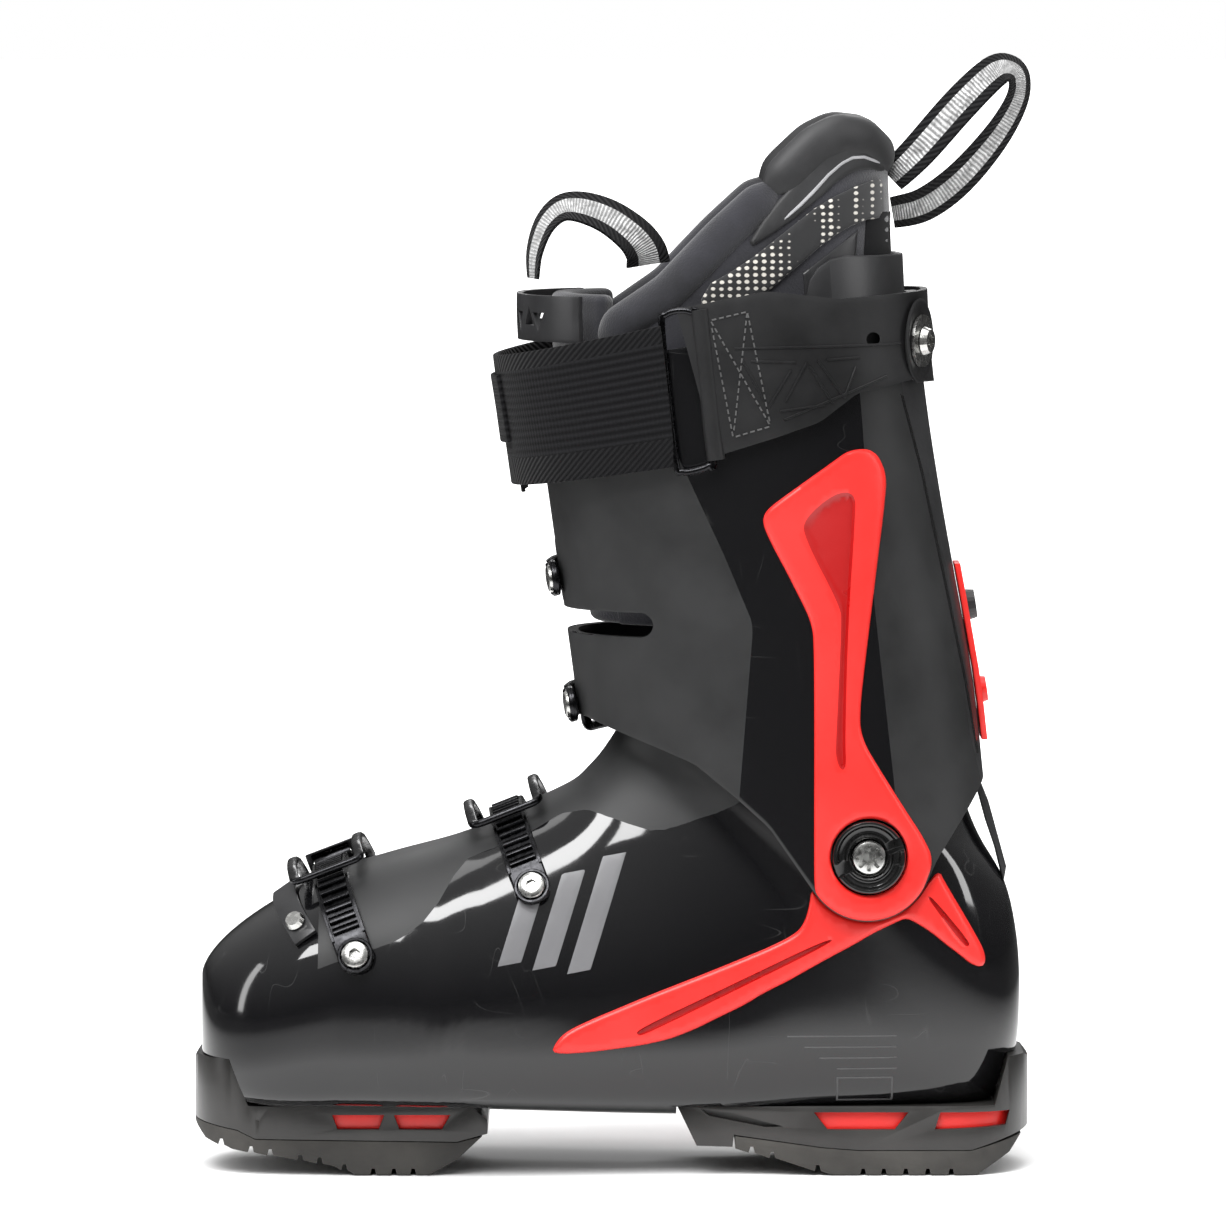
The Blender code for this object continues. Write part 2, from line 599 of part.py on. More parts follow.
def make_ladder(name, frame, start, end):
    count = int((end - start - 12) / (TOOTH_PITCH / 2))
    teeth = spread(start + 12, end, count)
    runs = [start - 6, start - 4.5, start + 9] + teeth
    top = LADDER_GAP + LADDER_BASE
    highs = [top, top, top] + [top + (LADDER_TOOTH if k % 2 else 0.0) for k in range(count)]
    ladder = add_piece("ladder_" + name, frame.strip(runs, [LADDER_GAP] * len(runs), highs, LADDER_WIDTH / 2),
                       "dark_anodised", frame.at(start, 0))
    drill = cylinder(frame.at(start, -2), frame.at(start, 9), 3.0, 20)
    boolean(ladder, add_cutter("ladder_hole_" + name, drill), "DIFFERENCE")
    screw = add_piece("ladder_screw_" + name, cylinder(frame.at(start, 0.6), frame.at(start, top + 1), 2.6, 20),
                      "polished_steel", frame.at(start, 0))
    head = cylinder(frame.at(start, top + 0.35), frame.at(start, top + 2.6), 5.0, 24, 4.2)
    boolean(screw, add_cutter("ladder_head_" + name, head), "UNION")
    socket = cylinder(frame.at(start, top + 1.2), frame.at(start, top + 5), 2.3, 6)
    boolean(screw, add_cutter("ladder_socket_" + name, socket), "DIFFERENCE")


def make_base(name, frame, hinge):
    axis = [frame.at(hinge, HINGE_HEIGHT, side) for side in (-BASE_HALF_WIDTH, BASE_HALF_WIDTH)]
    runs = spread(hinge - 0.5, hinge + 26, 7)
    plate = frame.strip(runs, [1.4] * 7, [3.2] * 7, BASE_HALF_WIDTH)
    base = add_piece("buckle_base_" + name, plate, "dark_anodised", frame.at(hinge, 0))
    knuckle = joined(cylinder(*axis, 2.8, 20))
    boolean(base, add_cutter("knuckle_" + name, knuckle), "UNION")
    post = frame.strip([hinge - 1.2, hinge + 2.4], [2.0, 2.0], [HINGE_HEIGHT, HINGE_HEIGHT], BASE_HALF_WIDTH - 0.5)
    boolean(base, add_cutter("knuckle_post_" + name, post), "UNION")
    ends = [frame.at(hinge, HINGE_HEIGHT, side) for side in (-12, 12)]
    boolean(base, add_cutter("pin_bore_" + name, cylinder(*ends, PIN_RADIUS + RUNNING_GAP, 16)), "DIFFERENCE")
    ends = [frame.at(hinge, HINGE_HEIGHT, side) for side in (-LEVER_HALF_WIDTH, LEVER_HALF_WIDTH)]
    add_piece("lever_pin_" + name, cylinder(*ends, PIN_RADIUS, 16), "polished_steel", frame.at(hinge, HINGE_HEIGHT))


def make_lever(name, frame, hinge):
    """A channel that straddles the base, with a flat handle beyond it."""
    outer, inner = LEVER_HALF_WIDTH, LEVER_HALF_WIDTH - LEVER_CHEEK
    runs = [-3.0, 2.2, 9.0, 16.0, 24.0, 33.0, LEVER_LENGTH]
    lows = [4.0, 1.9, 1.9, 1.9, 3.2, 5.0, 7.0]
    roofs = [8.9, 9.2, 9.3, 9.3, 9.3, 9.0, 8.2]
    tops = [9.5, 11.2, 11.3, 11.3, 11.2, 10.8, 9.8]
    rings = []
    for run, low, roof, top in zip(runs, lows, roofs, tops):
        sides = [(-outer, low), (-outer, top), (outer, top), (outer, low), (inner, low), (inner, roof),
                 (-inner, roof), (-inner, low)]
        rings.append([frame.at(hinge + run, height, side) for side, height in sides])
    lever = add_piece("lever_" + name, loft(rings), "dark_anodised", frame.at(hinge, HINGE_HEIGHT))
    pin = cylinder(*[frame.at(hinge, HINGE_HEIGHT, side) for side in (-20, 20)], PIN_RADIUS + RUNNING_GAP, 16)
    rod = cylinder(*[bail_end(frame, hinge, side) for side in (-20, 20)], BAIL_RADIUS + RUNNING_GAP + 0.15, 16)
    boolean(lever, add_cutter("lever_bores_" + name, joined(pin, rod)), "DIFFERENCE")


def bail_end(frame, hinge, side=0.0):
    return frame.at(hinge + BAIL_REACH, HINGE_HEIGHT, side)


def make_bail(name, frame, hook, hinge):
    """A closed wire frame from the rod in the lever to the bar that hooks over the ladder's teeth."""
    middle = spread(hook, hinge + BAIL_REACH, 8)
    heights = [HOOK_HEIGHT, 8.2, 8.6, 8.6, 8.4, 7.6, 6.6, HINGE_HEIGHT]
    one_side = [frame.at(run, height, -BAIL_HALF_WIDTH) for run, height in zip(middle, heights)]
    other_side = [frame.at(run, height, BAIL_HALF_WIDTH) for run, height in zip(middle, heights)]
    add_wire("bail_" + name, one_side + other_side[::-1], BAIL_RADIUS, "dark_anodised", bail_end(frame, hinge), 1)


def tree_of(rings):
    bm = loft(rings)
    bmesh.ops.recalc_face_normals(bm, faces=bm.faces)
    tree = BVHTree.FromBMesh(bm)
    bm.free()
    return tree


def make_buckles():
    foot, leg = tree_of(foot_rings(steps=2)), tree_of(leg_rings(87, 330))
    for name, spec in BUCKLES.items():
        frame = SectionFrame(leg if "cuff" in name else foot, spec["centre"], spec["lean"])
        start, hook, hinge = (frame.run_at(spec[key]) for key in ("start", "hook", "hinge"))
        make_ladder(name, frame, start, hinge - 12)
        make_base(name, frame, hinge)
        make_lever(name, frame, hinge)
        make_bail(name, frame, hook, hinge)
        print(name, "hinge at", [round(n, 2) for n in frame.at(hinge, HINGE_HEIGHT)], "rod at",
              [round(n, 2) for n in bail_end(frame, hinge)], "axis", [round(n, 5) for n in frame.across])


def make_toe_bridge():
    frame = SectionFrame(tree_of(foot_rings(steps=2)), (-84.0, 50.0), 35.0)
    start, end = frame.run_at(-46), frame.run_at(30)
    count = 9
    bridge = add_piece("toe_bridge", frame.strip(spread(start, end, count), [1.1] * count, [2.9] * count, 4.5),
                       "black_satin")
    place = start + 8
    boolean(bridge, add_cutter("toe_bridge_hole", cylinder(frame.at(place, -2), frame.at(place, 8), 2.5, 16)),
            "DIFFERENCE")
    screw = add_piece("toe_bridge_screw", cylinder(frame.at(place, 0.5), frame.at(place, 3.6), 2.1, 16),
                      "polished_steel", frame.at(place, 0))
    head = cylinder(frame.at(place, 3.05), frame.at(place, 4.9), 3.8, 20, 3.0)
    boolean(screw, add_cutter("toe_bridge_head", head), "UNION")


# ---- power strap and loops

def band(name, angles, low, high, offset, thickness, finish, front=0.0):
    """A strap round the leg loft. low and high give its edges at an angle measured from the front towards
    the inner side, and front adds a stand-off that fades away round the leg."""
    def point(angle, height, out):
        ring = leg_ring(height, 0.0, 120)
        middle = Vector(((ring[0].x + ring[60].x) / 2, 0, height))
        spot = ring[round(-angle / 3) % 120]
        way = (spot - middle).normalized()
        return spot + way * (out + front * max(math.cos(math.radians(angle)), 0) ** 2)

    rings = [[point(a, low(a), offset), point(a, high(a), offset), point(a, high(a), offset + thickness),
              point(a, low(a), offset + thickness)] for a in angles]
    return add_piece(name, loft(rings), finish)


def make_strap():
    def tilt(at_front, at_rear):
        return lambda a: at_front + (at_rear - at_front) * (1 - math.cos(math.radians(a))) / 2

    band("strap_webbing", [72 - 9 * i for i in range(16)], tilt(250.0, 290.0), tilt(300.0, 340.0), 1.6, 2.4, "webbing",
         front=9.0)
    band("strap_rear", [95 + 11.5 * i for i in range(17)], tilt(250.0, 288.0), tilt(313.0, 321.0), 1.0, 2.6,
         "black_rubber")


def make_strap_ring():
    """A wire loop on the inner side that the webbing passes through."""
    front_low, front_high = Vector((23.0, -61.4, 257.0)), Vector((17.5, -62.4, 314.0))
    rear_low, rear_high = Vector((36.5, -62.6, 259.0)), Vector((30.5, -64.0, 316.0))
    corners = [front_low, front_high, rear_high, rear_low]
    points = []
    for k, corner in enumerate(corners):
        before, after = corners[k - 1], corners[(k + 1) % 4]
        start = corner + (before - corner).normalized() * 4
        end = corner + (after - corner).normalized() * 4
        points += [start.lerp(corner, t).lerp(corner.lerp(end, t), t) for t in (0, 0.25, 0.5, 0.75, 1)]
    add_wire("strap_ring", points, 1.25, "dark_anodised", (rear_low + rear_high) / 2)


def make_strap_rivet():
    """A washer and bolt on the strap where it turns from the heel side to the inner side."""
    ring = leg_ring(RIVET_HEIGHT, 0.0, 120)
    spot, tangent = ring[RIVET_INDEX], ring[RIVET_INDEX + 1] - ring[RIVET_INDEX - 1]
    out = Vector((-tangent.y, tangent.x, 0)).normalized()
    out = out if out.x > 0 else -out
    at = lambda height: spot + out * height
    add_piece("strap_washer", cylinder(at(5.0), at(6.2), 9.5, 28), "polished_steel", spot)
    bolt = add_piece("strap_bolt", cylinder(at(6.5), at(8.9), 5.2, 24, 4.2), "dark_anodised", spot)
    boolean(bolt, add_cutter("strap_bolt_socket", cylinder(at(7.7), at(12), 2.4, 6)), "DIFFERENCE")


def ribbon(name, centre_line, half_width, thickness, finish, shift=0.0):
    """A flat strap standing on edge across Y, along a side-view centre line."""
    rings = []
    for k, (x, z) in enumerate(centre_line):
        a, b = centre_line[max(k - 1, 0)], centre_line[min(k + 1, len(centre_line) - 1)]
        way = Vector((b[0] - a[0], b[1] - a[1])).normalized() * (thickness / 2)
        low, high = (x + way.y, z - way.x), (x - way.y, z + way.x)
        rings.append([(low[0], shift - half_width, low[1]), (low[0], shift + half_width, low[1]),
                      (high[0], shift + half_width, high[1]), (high[0], shift - half_width, high[1])])
    add_piece(name, loft(rings), finish)


def make_loops():
    heel = [(101.8, 361.0), (112.0, 371.0), (127.0, 388.0), (140.0, 401.5), (146.0, 402.5), (150.5, 399.0),
            (150.0, 390.0), (142.0, 376.0), (128.0, 359.0), (114.0, 349.5), (102.4, 347.0)]
    ribbon("heel_loop", heel, 11.0, 2.0, "webbing")
    tongue = [(-28.5, 324.5), (-28.0, 334.0), (-24.5, 344.0), (-18.5, 350.5), (-11.0, 351.0), (-1.0, 347.5),
              (8.0, 341.0), (12.5, 335.0), (13.5, 331.5)]
    ribbon("tongue_loop", tongue, 12.0, 2.2, "webbing")


def make_tongue_bracket():
    angles = [36 - 8 * i for i in range(10)]
    band("tongue_bracket", angles, lambda a: 303.0, lambda a: 321.0 - 0.08 * abs(a), -6.6, 5.6, "black_satin")


clear_scene()
PARTS = new_collection("Alpine ski boot")
CUTTERS = new_collection("Cutters", hidden=True)
make_lower_shell()
make_boot_board()
make_liner_foot()
make_footbed()
make_cuff()
make_liner_leg()
make_liner_ankle()
make_spoiler()
make_toe_sole()
make_heel_sole()
make_pivot("inner", -1)
make_pivot("outer", 1)
make_spine()
make_buckles()
make_toe_bridge()
make_strap()
make_strap_ring()
make_strap_rivet()
make_loops()
make_tongue_bracket()
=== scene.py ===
import json
import math

import bpy
import numpy as np
from mathutils import Matrix, Vector
from mathutils.bvhtree import BVHTree
from mathutils.geometry import delaunay_2d_cdt

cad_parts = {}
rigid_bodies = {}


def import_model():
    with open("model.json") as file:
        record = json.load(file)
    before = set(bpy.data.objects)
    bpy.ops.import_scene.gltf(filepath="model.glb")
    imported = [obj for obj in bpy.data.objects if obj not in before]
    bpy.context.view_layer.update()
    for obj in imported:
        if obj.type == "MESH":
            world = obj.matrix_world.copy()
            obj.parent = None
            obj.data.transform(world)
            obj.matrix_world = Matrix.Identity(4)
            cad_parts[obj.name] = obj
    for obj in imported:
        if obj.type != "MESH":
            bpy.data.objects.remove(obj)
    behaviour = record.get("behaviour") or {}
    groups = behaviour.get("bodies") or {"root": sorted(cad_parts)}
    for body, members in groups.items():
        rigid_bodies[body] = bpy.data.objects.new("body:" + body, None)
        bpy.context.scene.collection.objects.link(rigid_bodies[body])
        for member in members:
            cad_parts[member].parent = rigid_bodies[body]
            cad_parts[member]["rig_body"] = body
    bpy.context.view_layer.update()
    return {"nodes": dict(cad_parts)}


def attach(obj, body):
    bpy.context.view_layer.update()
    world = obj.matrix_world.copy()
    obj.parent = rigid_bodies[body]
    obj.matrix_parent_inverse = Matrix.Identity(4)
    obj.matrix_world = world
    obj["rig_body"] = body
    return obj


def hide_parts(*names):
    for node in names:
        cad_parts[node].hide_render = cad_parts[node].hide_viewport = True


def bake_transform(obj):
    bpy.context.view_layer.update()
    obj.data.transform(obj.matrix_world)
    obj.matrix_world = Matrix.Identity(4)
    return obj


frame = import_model()
mm = 0.001


# camera: target, distance and width seen at the target in metres, elevation in degrees
shot = {"target": (0.0006, 0.0, 0.2022), "distance": 3.2, "elevation": 4.0, "width": 0.4483}

tilt = math.radians(shot["elevation"])
bpy.ops.object.camera_add(location=(shot["target"][0], -shot["distance"] * math.cos(tilt),
                                    shot["target"][2] + shot["distance"] * math.sin(tilt)),
                          rotation=(math.pi / 2 - tilt, 0, 0))
camera = bpy.context.object
camera.data.sensor_width = 36
camera.data.lens = 36 * shot["distance"] / shot["width"]
camera.data.clip_end = 200
bpy.context.scene.camera = camera


def softbox(name, place, aim, size, power):
    bpy.ops.object.light_add(type="AREA", location=place)
    lamp = bpy.context.object
    lamp.name = name
    lamp.data.shape = "RECTANGLE"
    lamp.data.size, lamp.data.size_y = size
    lamp.data.energy = power
    lamp.rotation_euler = (Vector(aim) - Vector(place)).to_track_quat("-Z", "Y").to_euler()
    return lamp


# name: place, aim, size and power, in metres and watts
softboxes = {
    "keyBox": ((-1.0, -1.9, 2.1), (0, 0, 0.15), (1.3, 0.5), 30),
    "topBox": ((0.1, 0.1, 2.3), (0, 0, 0.2), (1.8, 1.2), 18),
    "shoulderStrip": ((-0.35, -1.05, 1.9), (-0.02, 0, 0.1), (1.3, 0.42), 28),
    "leftStrip": ((-2.2, -0.3, 0.8), (0, 0, 0.2), (0.3, 1.3), 8),
    "rightStrip": ((2.1, -0.5, 1.0), (0, 0, 0.25), (0.3, 1.4), 10),
    "backStrip": ((0.4, 2.2, 1.5), (0, 0, 0.2), (1.8, 0.6), 18),
}
for lampName, lampSpec in softboxes.items():
    softbox(lampName, *lampSpec)
sunSpec = {"turn": (38, -12, 0), "energy": 2.1, "angle": 60}
bpy.ops.object.light_add(type="SUN", location=(0, 0, 3), rotation=[math.radians(a) for a in sunSpec["turn"]])
sun = bpy.context.object
sun.name = "fillSun"
sun.data.energy = sunSpec["energy"]
sun.data.angle = math.radians(sunSpec["angle"])
sun.visible_glossy = False

# white behind the object, darker at the horizon in mirror images
world = bpy.data.worlds.new("studio")
bpy.context.scene.world = world
world.use_nodes = True
skyTree = world.node_tree
sky = skyTree.nodes["Background"]
skyWay = skyTree.nodes.new("ShaderNodeTexCoord")
skySplit = skyTree.nodes.new("ShaderNodeSeparateXYZ")
skyRamp = skyTree.nodes.new("ShaderNodeValToRGB")
skyRamp.color_ramp.elements[0].position = 0.02
skyRamp.color_ramp.elements[0].color = (0.05, 0.05, 0.05, 1)
skyRamp.color_ramp.elements[1].position = 0.8
skyRamp.color_ramp.elements[1].color = (0.6, 0.6, 0.6, 1)
skyPath = skyTree.nodes.new("ShaderNodeLightPath")
skyMix = skyTree.nodes.new("ShaderNodeMix")
skyMix.data_type = "RGBA"
skyMix.inputs[7].default_value = (1, 1, 1, 1)
skyTree.links.new(skyWay.outputs["Generated"], skySplit.inputs[0])
skyTree.links.new(skySplit.outputs["Z"], skyRamp.inputs[0])
skyTree.links.new(skyPath.outputs["Is Camera Ray"], skyMix.inputs[0])
skyTree.links.new(skyRamp.outputs[0], skyMix.inputs[6])
skyTree.links.new(skyMix.outputs[2], sky.inputs[0])
bpy.context.scene.view_settings.view_transform = "Standard"

bpy.ops.mesh.primitive_circle_add(vertices=96, radius=60, fill_type="NGON", location=(0, 0, -0.0004))
floor = bpy.context.object
floor.name = "studioFloor"


def node(tree, kind, inputs=None, **settings):
    made = tree.nodes.new("ShaderNode" + kind)
    for key, value in settings.items():
        setattr(made, key, value)
    for key, value in (inputs or {}).items():
        if isinstance(value, bpy.types.NodeSocket):
            tree.links.new(value, made.inputs[key])
        else:
            made.inputs[key].default_value = value
    return made


def paint(name, colour, roughness, metallic=0.0, **sockets):
    made = bpy.data.materials.new(name)
    made.use_nodes = True
    shader = made.node_tree.nodes["Principled BSDF"]
    shader.inputs["Base Color"].default_value = (*colour, 1)
    shader.inputs["Roughness"].default_value = roughness
    shader.inputs["Metallic"].default_value = metallic
    for key, value in sockets.items():
        shader.inputs[key.replace("_", " ")].default_value = value
    return made, made.node_tree, shader


def places(tree, source="Object", scale=(1, 1, 1), turn=(0, 0, 0)):
    coords = node(tree, "TexCoord")
    return node(tree, "Mapping", {"Vector": coords.outputs[source], "Scale": scale,
                                  "Rotation": turn}).outputs[0]


def noise(tree, vector, scale, detail=3.0, rough=0.5, warp=0.0):
    return node(tree, "TexNoise", {"Vector": vector, "Scale": scale, "Detail": detail, "Roughness": rough,
                                   "Distortion": warp}).outputs[0]


def math2(tree, operation, a, b=0.0, c=0.0):
    return node(tree, "Math", {0: a, 1: b, 2: c}, operation=operation).outputs[0]


def spread(tree, value, low, high, toLow, toHigh):
    return node(tree, "MapRange", {"Value": value, "From Min": low, "From Max": high, "To Min": toLow,
                                   "To Max": toHigh}).outputs[0]


def blendColour(tree, share, a, b):
    mixed = node(tree, "Mix", data_type="RGBA")
    for socket, value in ((0, share), (6, a), (7, b)):
        if isinstance(value, bpy.types.NodeSocket):
            tree.links.new(value, mixed.inputs[socket])
        else:
            mixed.inputs[socket].default_value = value if socket == 0 else (*value, 1)
    return mixed.outputs[2]


def bump(tree, shader, height, distance, strength=1.0):
    made = node(tree, "Bump", {"Height": height, "Distance": distance, "Strength": strength})
    tree.links.new(made.outputs[0], shader.inputs["Normal"])


# Thin wandering lines where a stretched noise passes its middle value, broken up by a second noise
def hairlines(tree, scale, width, turn=(0, 0, 0), stretch=(1, 1, 1)):
    line = noise(tree, places(tree, scale=stretch, turn=turn), scale, 1.0, 0.3)
    near = spread(tree, math2(tree, "ABSOLUTE", math2(tree, "SUBTRACT", line, 0.5)), 0.0, width, 1.0, 0.0)
    patches = spread(tree, noise(tree, places(tree), scale * 0.4, 2.0), 0.55, 0.66, 0.0, 1.0)
    return math2(tree, "MULTIPLY", near, patches)


def glossPaint(name, colour=(0.004, 0.004, 0.0045), low=0.055, high=0.13, wear=0.045):
    made, tree, shader = paint(name, colour, low, **{"Coat_Weight": 0.25, "Coat_Roughness": 0.05})
    cloud = noise(tree, places(tree), 22.0, 4.0)
    marks = math2(tree, "MAXIMUM", hairlines(tree, 95.0, 0.005, (0, 0.5, 0), (1, 1, 0.16)),
                  hairlines(tree, 80.0, 0.005, (0, -0.8, 0.2), (0.18, 1, 1)))
    rough = math2(tree, "ADD", spread(tree, cloud, 0.35, 0.65, low, high),
                  math2(tree, "MULTIPLY", marks, 0.16))
    tree.links.new(rough, shader.inputs["Roughness"])
    shade = blendColour(tree, math2(tree, "MULTIPLY", marks, 0.45), colour, (wear, wear, wear))
    tree.links.new(shade, shader.inputs["Base Color"])
    bump(tree, shader, noise(tree, places(tree), 300.0, 2.0), 0.00002, 0.25)
    return made


def mattePaint(name, colour, roughness, grain=900.0, depth=0.00003, vary=0.25, **sockets):
    made, tree, shader = paint(name, colour, roughness, **sockets)
    cloud = noise(tree, places(tree), 26.0, 5.0, 0.6)
    light = tuple(min(1.0, c * (1 + vary) + 0.002) for c in colour)
    dark = tuple(c * (1 - vary) for c in colour)
    tree.links.new(blendColour(tree, spread(tree, cloud, 0.35, 0.65, 0.0, 1.0), dark, light),
                   shader.inputs["Base Color"])
    tree.links.new(spread(tree, cloud, 0.3, 0.7, roughness - 0.06, roughness + 0.06),
                   shader.inputs["Roughness"])
    bump(tree, shader, noise(tree, places(tree), grain, 2.0), depth, 0.6)
    return made


def metalPaint(name, colour, roughness, brushed=(1, 1, 1)):
    made, tree, shader = paint(name, colour, roughness, 1.0)
    streaks = noise(tree, places(tree, scale=brushed), 500.0, 3.0)
    tree.links.new(spread(tree, streaks, 0.3, 0.7, roughness * 0.6, roughness * 1.5),
                   shader.inputs["Roughness"])
    tint = tuple(c * 0.72 for c in colour)
    tree.links.new(blendColour(tree, spread(tree, noise(tree, places(tree), 120.0, 4.0), 0.45, 0.7, 0.0, 1.0),
                               colour, tint), shader.inputs["Base Color"])
    bump(tree, shader, streaks, 0.00002, 0.4)
    return made


# Woven tape on the piece's own UV map, which is in metres along and across the tape. The raised threads are
# painted lighter, a painted highlight on the rib crowns
def weavePaint(name, colour, pitch, kind="rib", light=2.6):
    made, tree, shader = paint(name, colour, 0.85, **{"Sheen_Weight": 0.04, "Sheen_Roughness": 0.5,
                                                      "Specular_IOR_Level": 0.12})
    coords = node(tree, "TexCoord").outputs["UV"]
    split = node(tree, "SeparateXYZ", {0: coords})
    along, across = split.outputs[0], split.outputs[1]
    if kind == "twill":
        across = math2(tree, "ADD", across, math2(tree, "MULTIPLY", along, 0.75))
    turn = math.tau / pitch
    warp = math2(tree, "SINE", math2(tree, "MULTIPLY", across, turn))
    weft = math2(tree, "SINE", math2(tree, "MULTIPLY", along, turn * (1.55 if kind == "rib" else 0.001)))
    height = math2(tree, "ADD", warp, math2(tree, "MULTIPLY", weft, 0.14))
    # colour of the raised threads: a painted highlight, brighter by the light factor
    ribHighlightColour = tuple(min(1.0, c * light + 0.006) for c in colour)
    fuzz = noise(tree, coords, 2600.0, 3.0)
    share = math2(tree, "MULTIPLY", spread(tree, height, -0.6, 1.4, 0.0, 1.0), fuzz)
    tree.links.new(blendColour(tree, share, colour, ribHighlightColour), shader.inputs["Base Color"])
    bump(tree, shader, math2(tree, "ADD", height, math2(tree, "MULTIPLY", fuzz, 0.5)), 0.00028, 0.9)
    return made


# Shimmering open tape: bright threads along the strap with darker gaps
def silverNet(name):
    made, tree, shader = paint(name, (0.5, 0.5, 0.5), 0.3, 0.3, Sheen_Weight=0.5)
    coords = node(tree, "TexCoord").outputs["UV"]
    split = node(tree, "SeparateXYZ", {0: coords})
    ripple = noise(tree, coords, 260.0, 3.0, 0.6, 0.6)
    ribs = math2(tree, "SINE", math2(tree, "ADD", math2(tree, "MULTIPLY", split.outputs[1],
                                                        math.tau / 0.0011),
                                     math2(tree, "MULTIPLY", ripple, 5.0)))
    share = math2(tree, "MULTIPLY", spread(tree, ribs, -1.0, 1.0, 0.25, 1.0),
                  spread(tree, ripple, 0.3, 0.7, 0.2, 1.0))
    tree.links.new(blendColour(tree, share, (0.06, 0.06, 0.06), (0.78, 0.78, 0.78)),
                   shader.inputs["Base Color"])
    bump(tree, shader, ribs, 0.0002, 0.8)
    return made


# Black spacer mesh whose round holes show the paler foam behind them
def meshBand(name):
    made, tree, shader = paint(name, (0.02, 0.02, 0.02), 0.8, Sheen_Weight=0.2)
    cells = node(tree, "TexVoronoi", {"Vector": places(tree, scale=(1, 0.4, 1.25)), "Scale": 330.0,
                                      "Randomness": 0.12})
    hole = spread(tree, cells.outputs["Distance"], 0.26, 0.34, 1.0, 0.0)
    tree.links.new(blendColour(tree, hole, (0.010, 0.010, 0.011), (0.46, 0.44, 0.40)),
                   shader.inputs["Base Color"])
    bump(tree, shader, math2(tree, "SUBTRACT", 1.0, hole), 0.0004, 1.0)
    return made


# every finish by name, in scene colours and metres
finishes = {
    "gloss": glossPaint("shellGloss"),
    "matte": mattePaint("shellMatte", (0.012, 0.0122, 0.0126), 0.5, Specular_IOR_Level=0.42),
    "bar": mattePaint("satinBar", (0.12, 0.12, 0.125), 0.42, vary=0.06),
    "rule": mattePaint("printedRule", (0.055, 0.055, 0.056), 0.6, vary=0.1),
    "spine": mattePaint("spinePlastic", (0.017, 0.017, 0.018), 0.42),
    "red": mattePaint("redPlastic", (0.68, 0.016, 0.012), 0.36, 500.0, 0.00002, 0.05),
    # a darker red for the panels' grooves, painted shade in the recesses
    "recessShadeRed": mattePaint("redRecessPaintedShade", (0.33, 0.003, 0.003), 0.3, 500.0, 0.00002, 0.05),
    "sole": mattePaint("solePlastic", (0.020, 0.019, 0.018), 0.34, 420.0, 0.00004, 0.3),
    "rubber": mattePaint("treadRubber", (0.032, 0.030, 0.027), 0.72, 500.0, 0.0001, 0.45),
    "trim": mattePaint("trimPlastic", (0.016, 0.016, 0.017), 0.38),
    "trimGloss": glossPaint("trimGloss", (0.006, 0.006, 0.006), 0.08, 0.16, 0.05),
    "board": mattePaint("boardFoam", (0.03, 0.03, 0.032), 0.85, 700.0, 0.0002),
    "strapRubber": mattePaint("strapRubber", (0.008, 0.008, 0.0085), 0.5, 700.0, 0.00005, 0.3,
                              Specular_IOR_Level=0.35),
    "buckle": metalPaint("buckleBlack", (0.030, 0.030, 0.032), 0.24),
    "steel": metalPaint("boltSteel", (0.60, 0.60, 0.58), 0.24),
    "webbing": weavePaint("webbingRib", (0.003, 0.003, 0.0035), 0.0026, light=3.2),
    "twill": weavePaint("webbingTwill", (0.004, 0.004, 0.0045), 0.0022, "twill", 2.0),
    "knit": mattePaint("linerKnit", (0.012, 0.012, 0.016), 0.92, 1500.0, 0.0004, 0.5, Sheen_Weight=0.35),
    "silver": silverNet("loopSilver"),
    "holes": meshBand("linerMesh"),
    "reflex": mattePaint("greyPiping", (0.30, 0.30, 0.31), 0.4, vary=0.1),
    "redThread": mattePaint("redThread", (0.6, 0.02, 0.02), 0.7, vary=0.1),
    "thread": mattePaint("blackThread", (0.06, 0.06, 0.06), 0.6, vary=0.2),
    "foam": mattePaint("linerSmooth", (0.018, 0.018, 0.019), 0.55, 900.0, 0.00006),
}

# the table is pale all over, and only its mirror image in glossy parts fades out away from the boot
paleFloor, floorTree, floorShader = paint("paleFloor", (0.9, 0.9, 0.9), 0.95)
away = node(floorTree, "VectorMath", {0: node(floorTree, "TexCoord").outputs["Object"]}, operation="LENGTH")
fade = math2(floorTree, "MULTIPLY", spread(floorTree, away.outputs["Value"], 0.3, 0.75, 0.0, 1.0),
             node(floorTree, "LightPath").outputs["Is Glossy Ray"])
floorTree.links.new(blendColour(floorTree, fade, (0.9, 0.9, 0.9), (0.02, 0.02, 0.02)),
                    floorShader.inputs["Base Color"])
glow = math2(floorTree, "MULTIPLY", spread(floorTree, away.outputs["Value"], 0.45, 2.2, 0.0, 1.0),
             node(floorTree, "LightPath").outputs["Is Camera Ray"])
floorShader.inputs["Emission Color"].default_value = (1, 1, 1, 1)
floorTree.links.new(glow, floorShader.inputs["Emission Strength"])
floor.data.materials.append(paleFloor)
print("stage and finishes ready")


def pick(piece):
    if bpy.context.mode != "OBJECT":
        bpy.ops.object.mode_set(mode="OBJECT")
    bpy.ops.object.select_all(action="DESELECT")
    piece.select_set(True)
    bpy.context.view_layer.objects.active = piece
    return piece


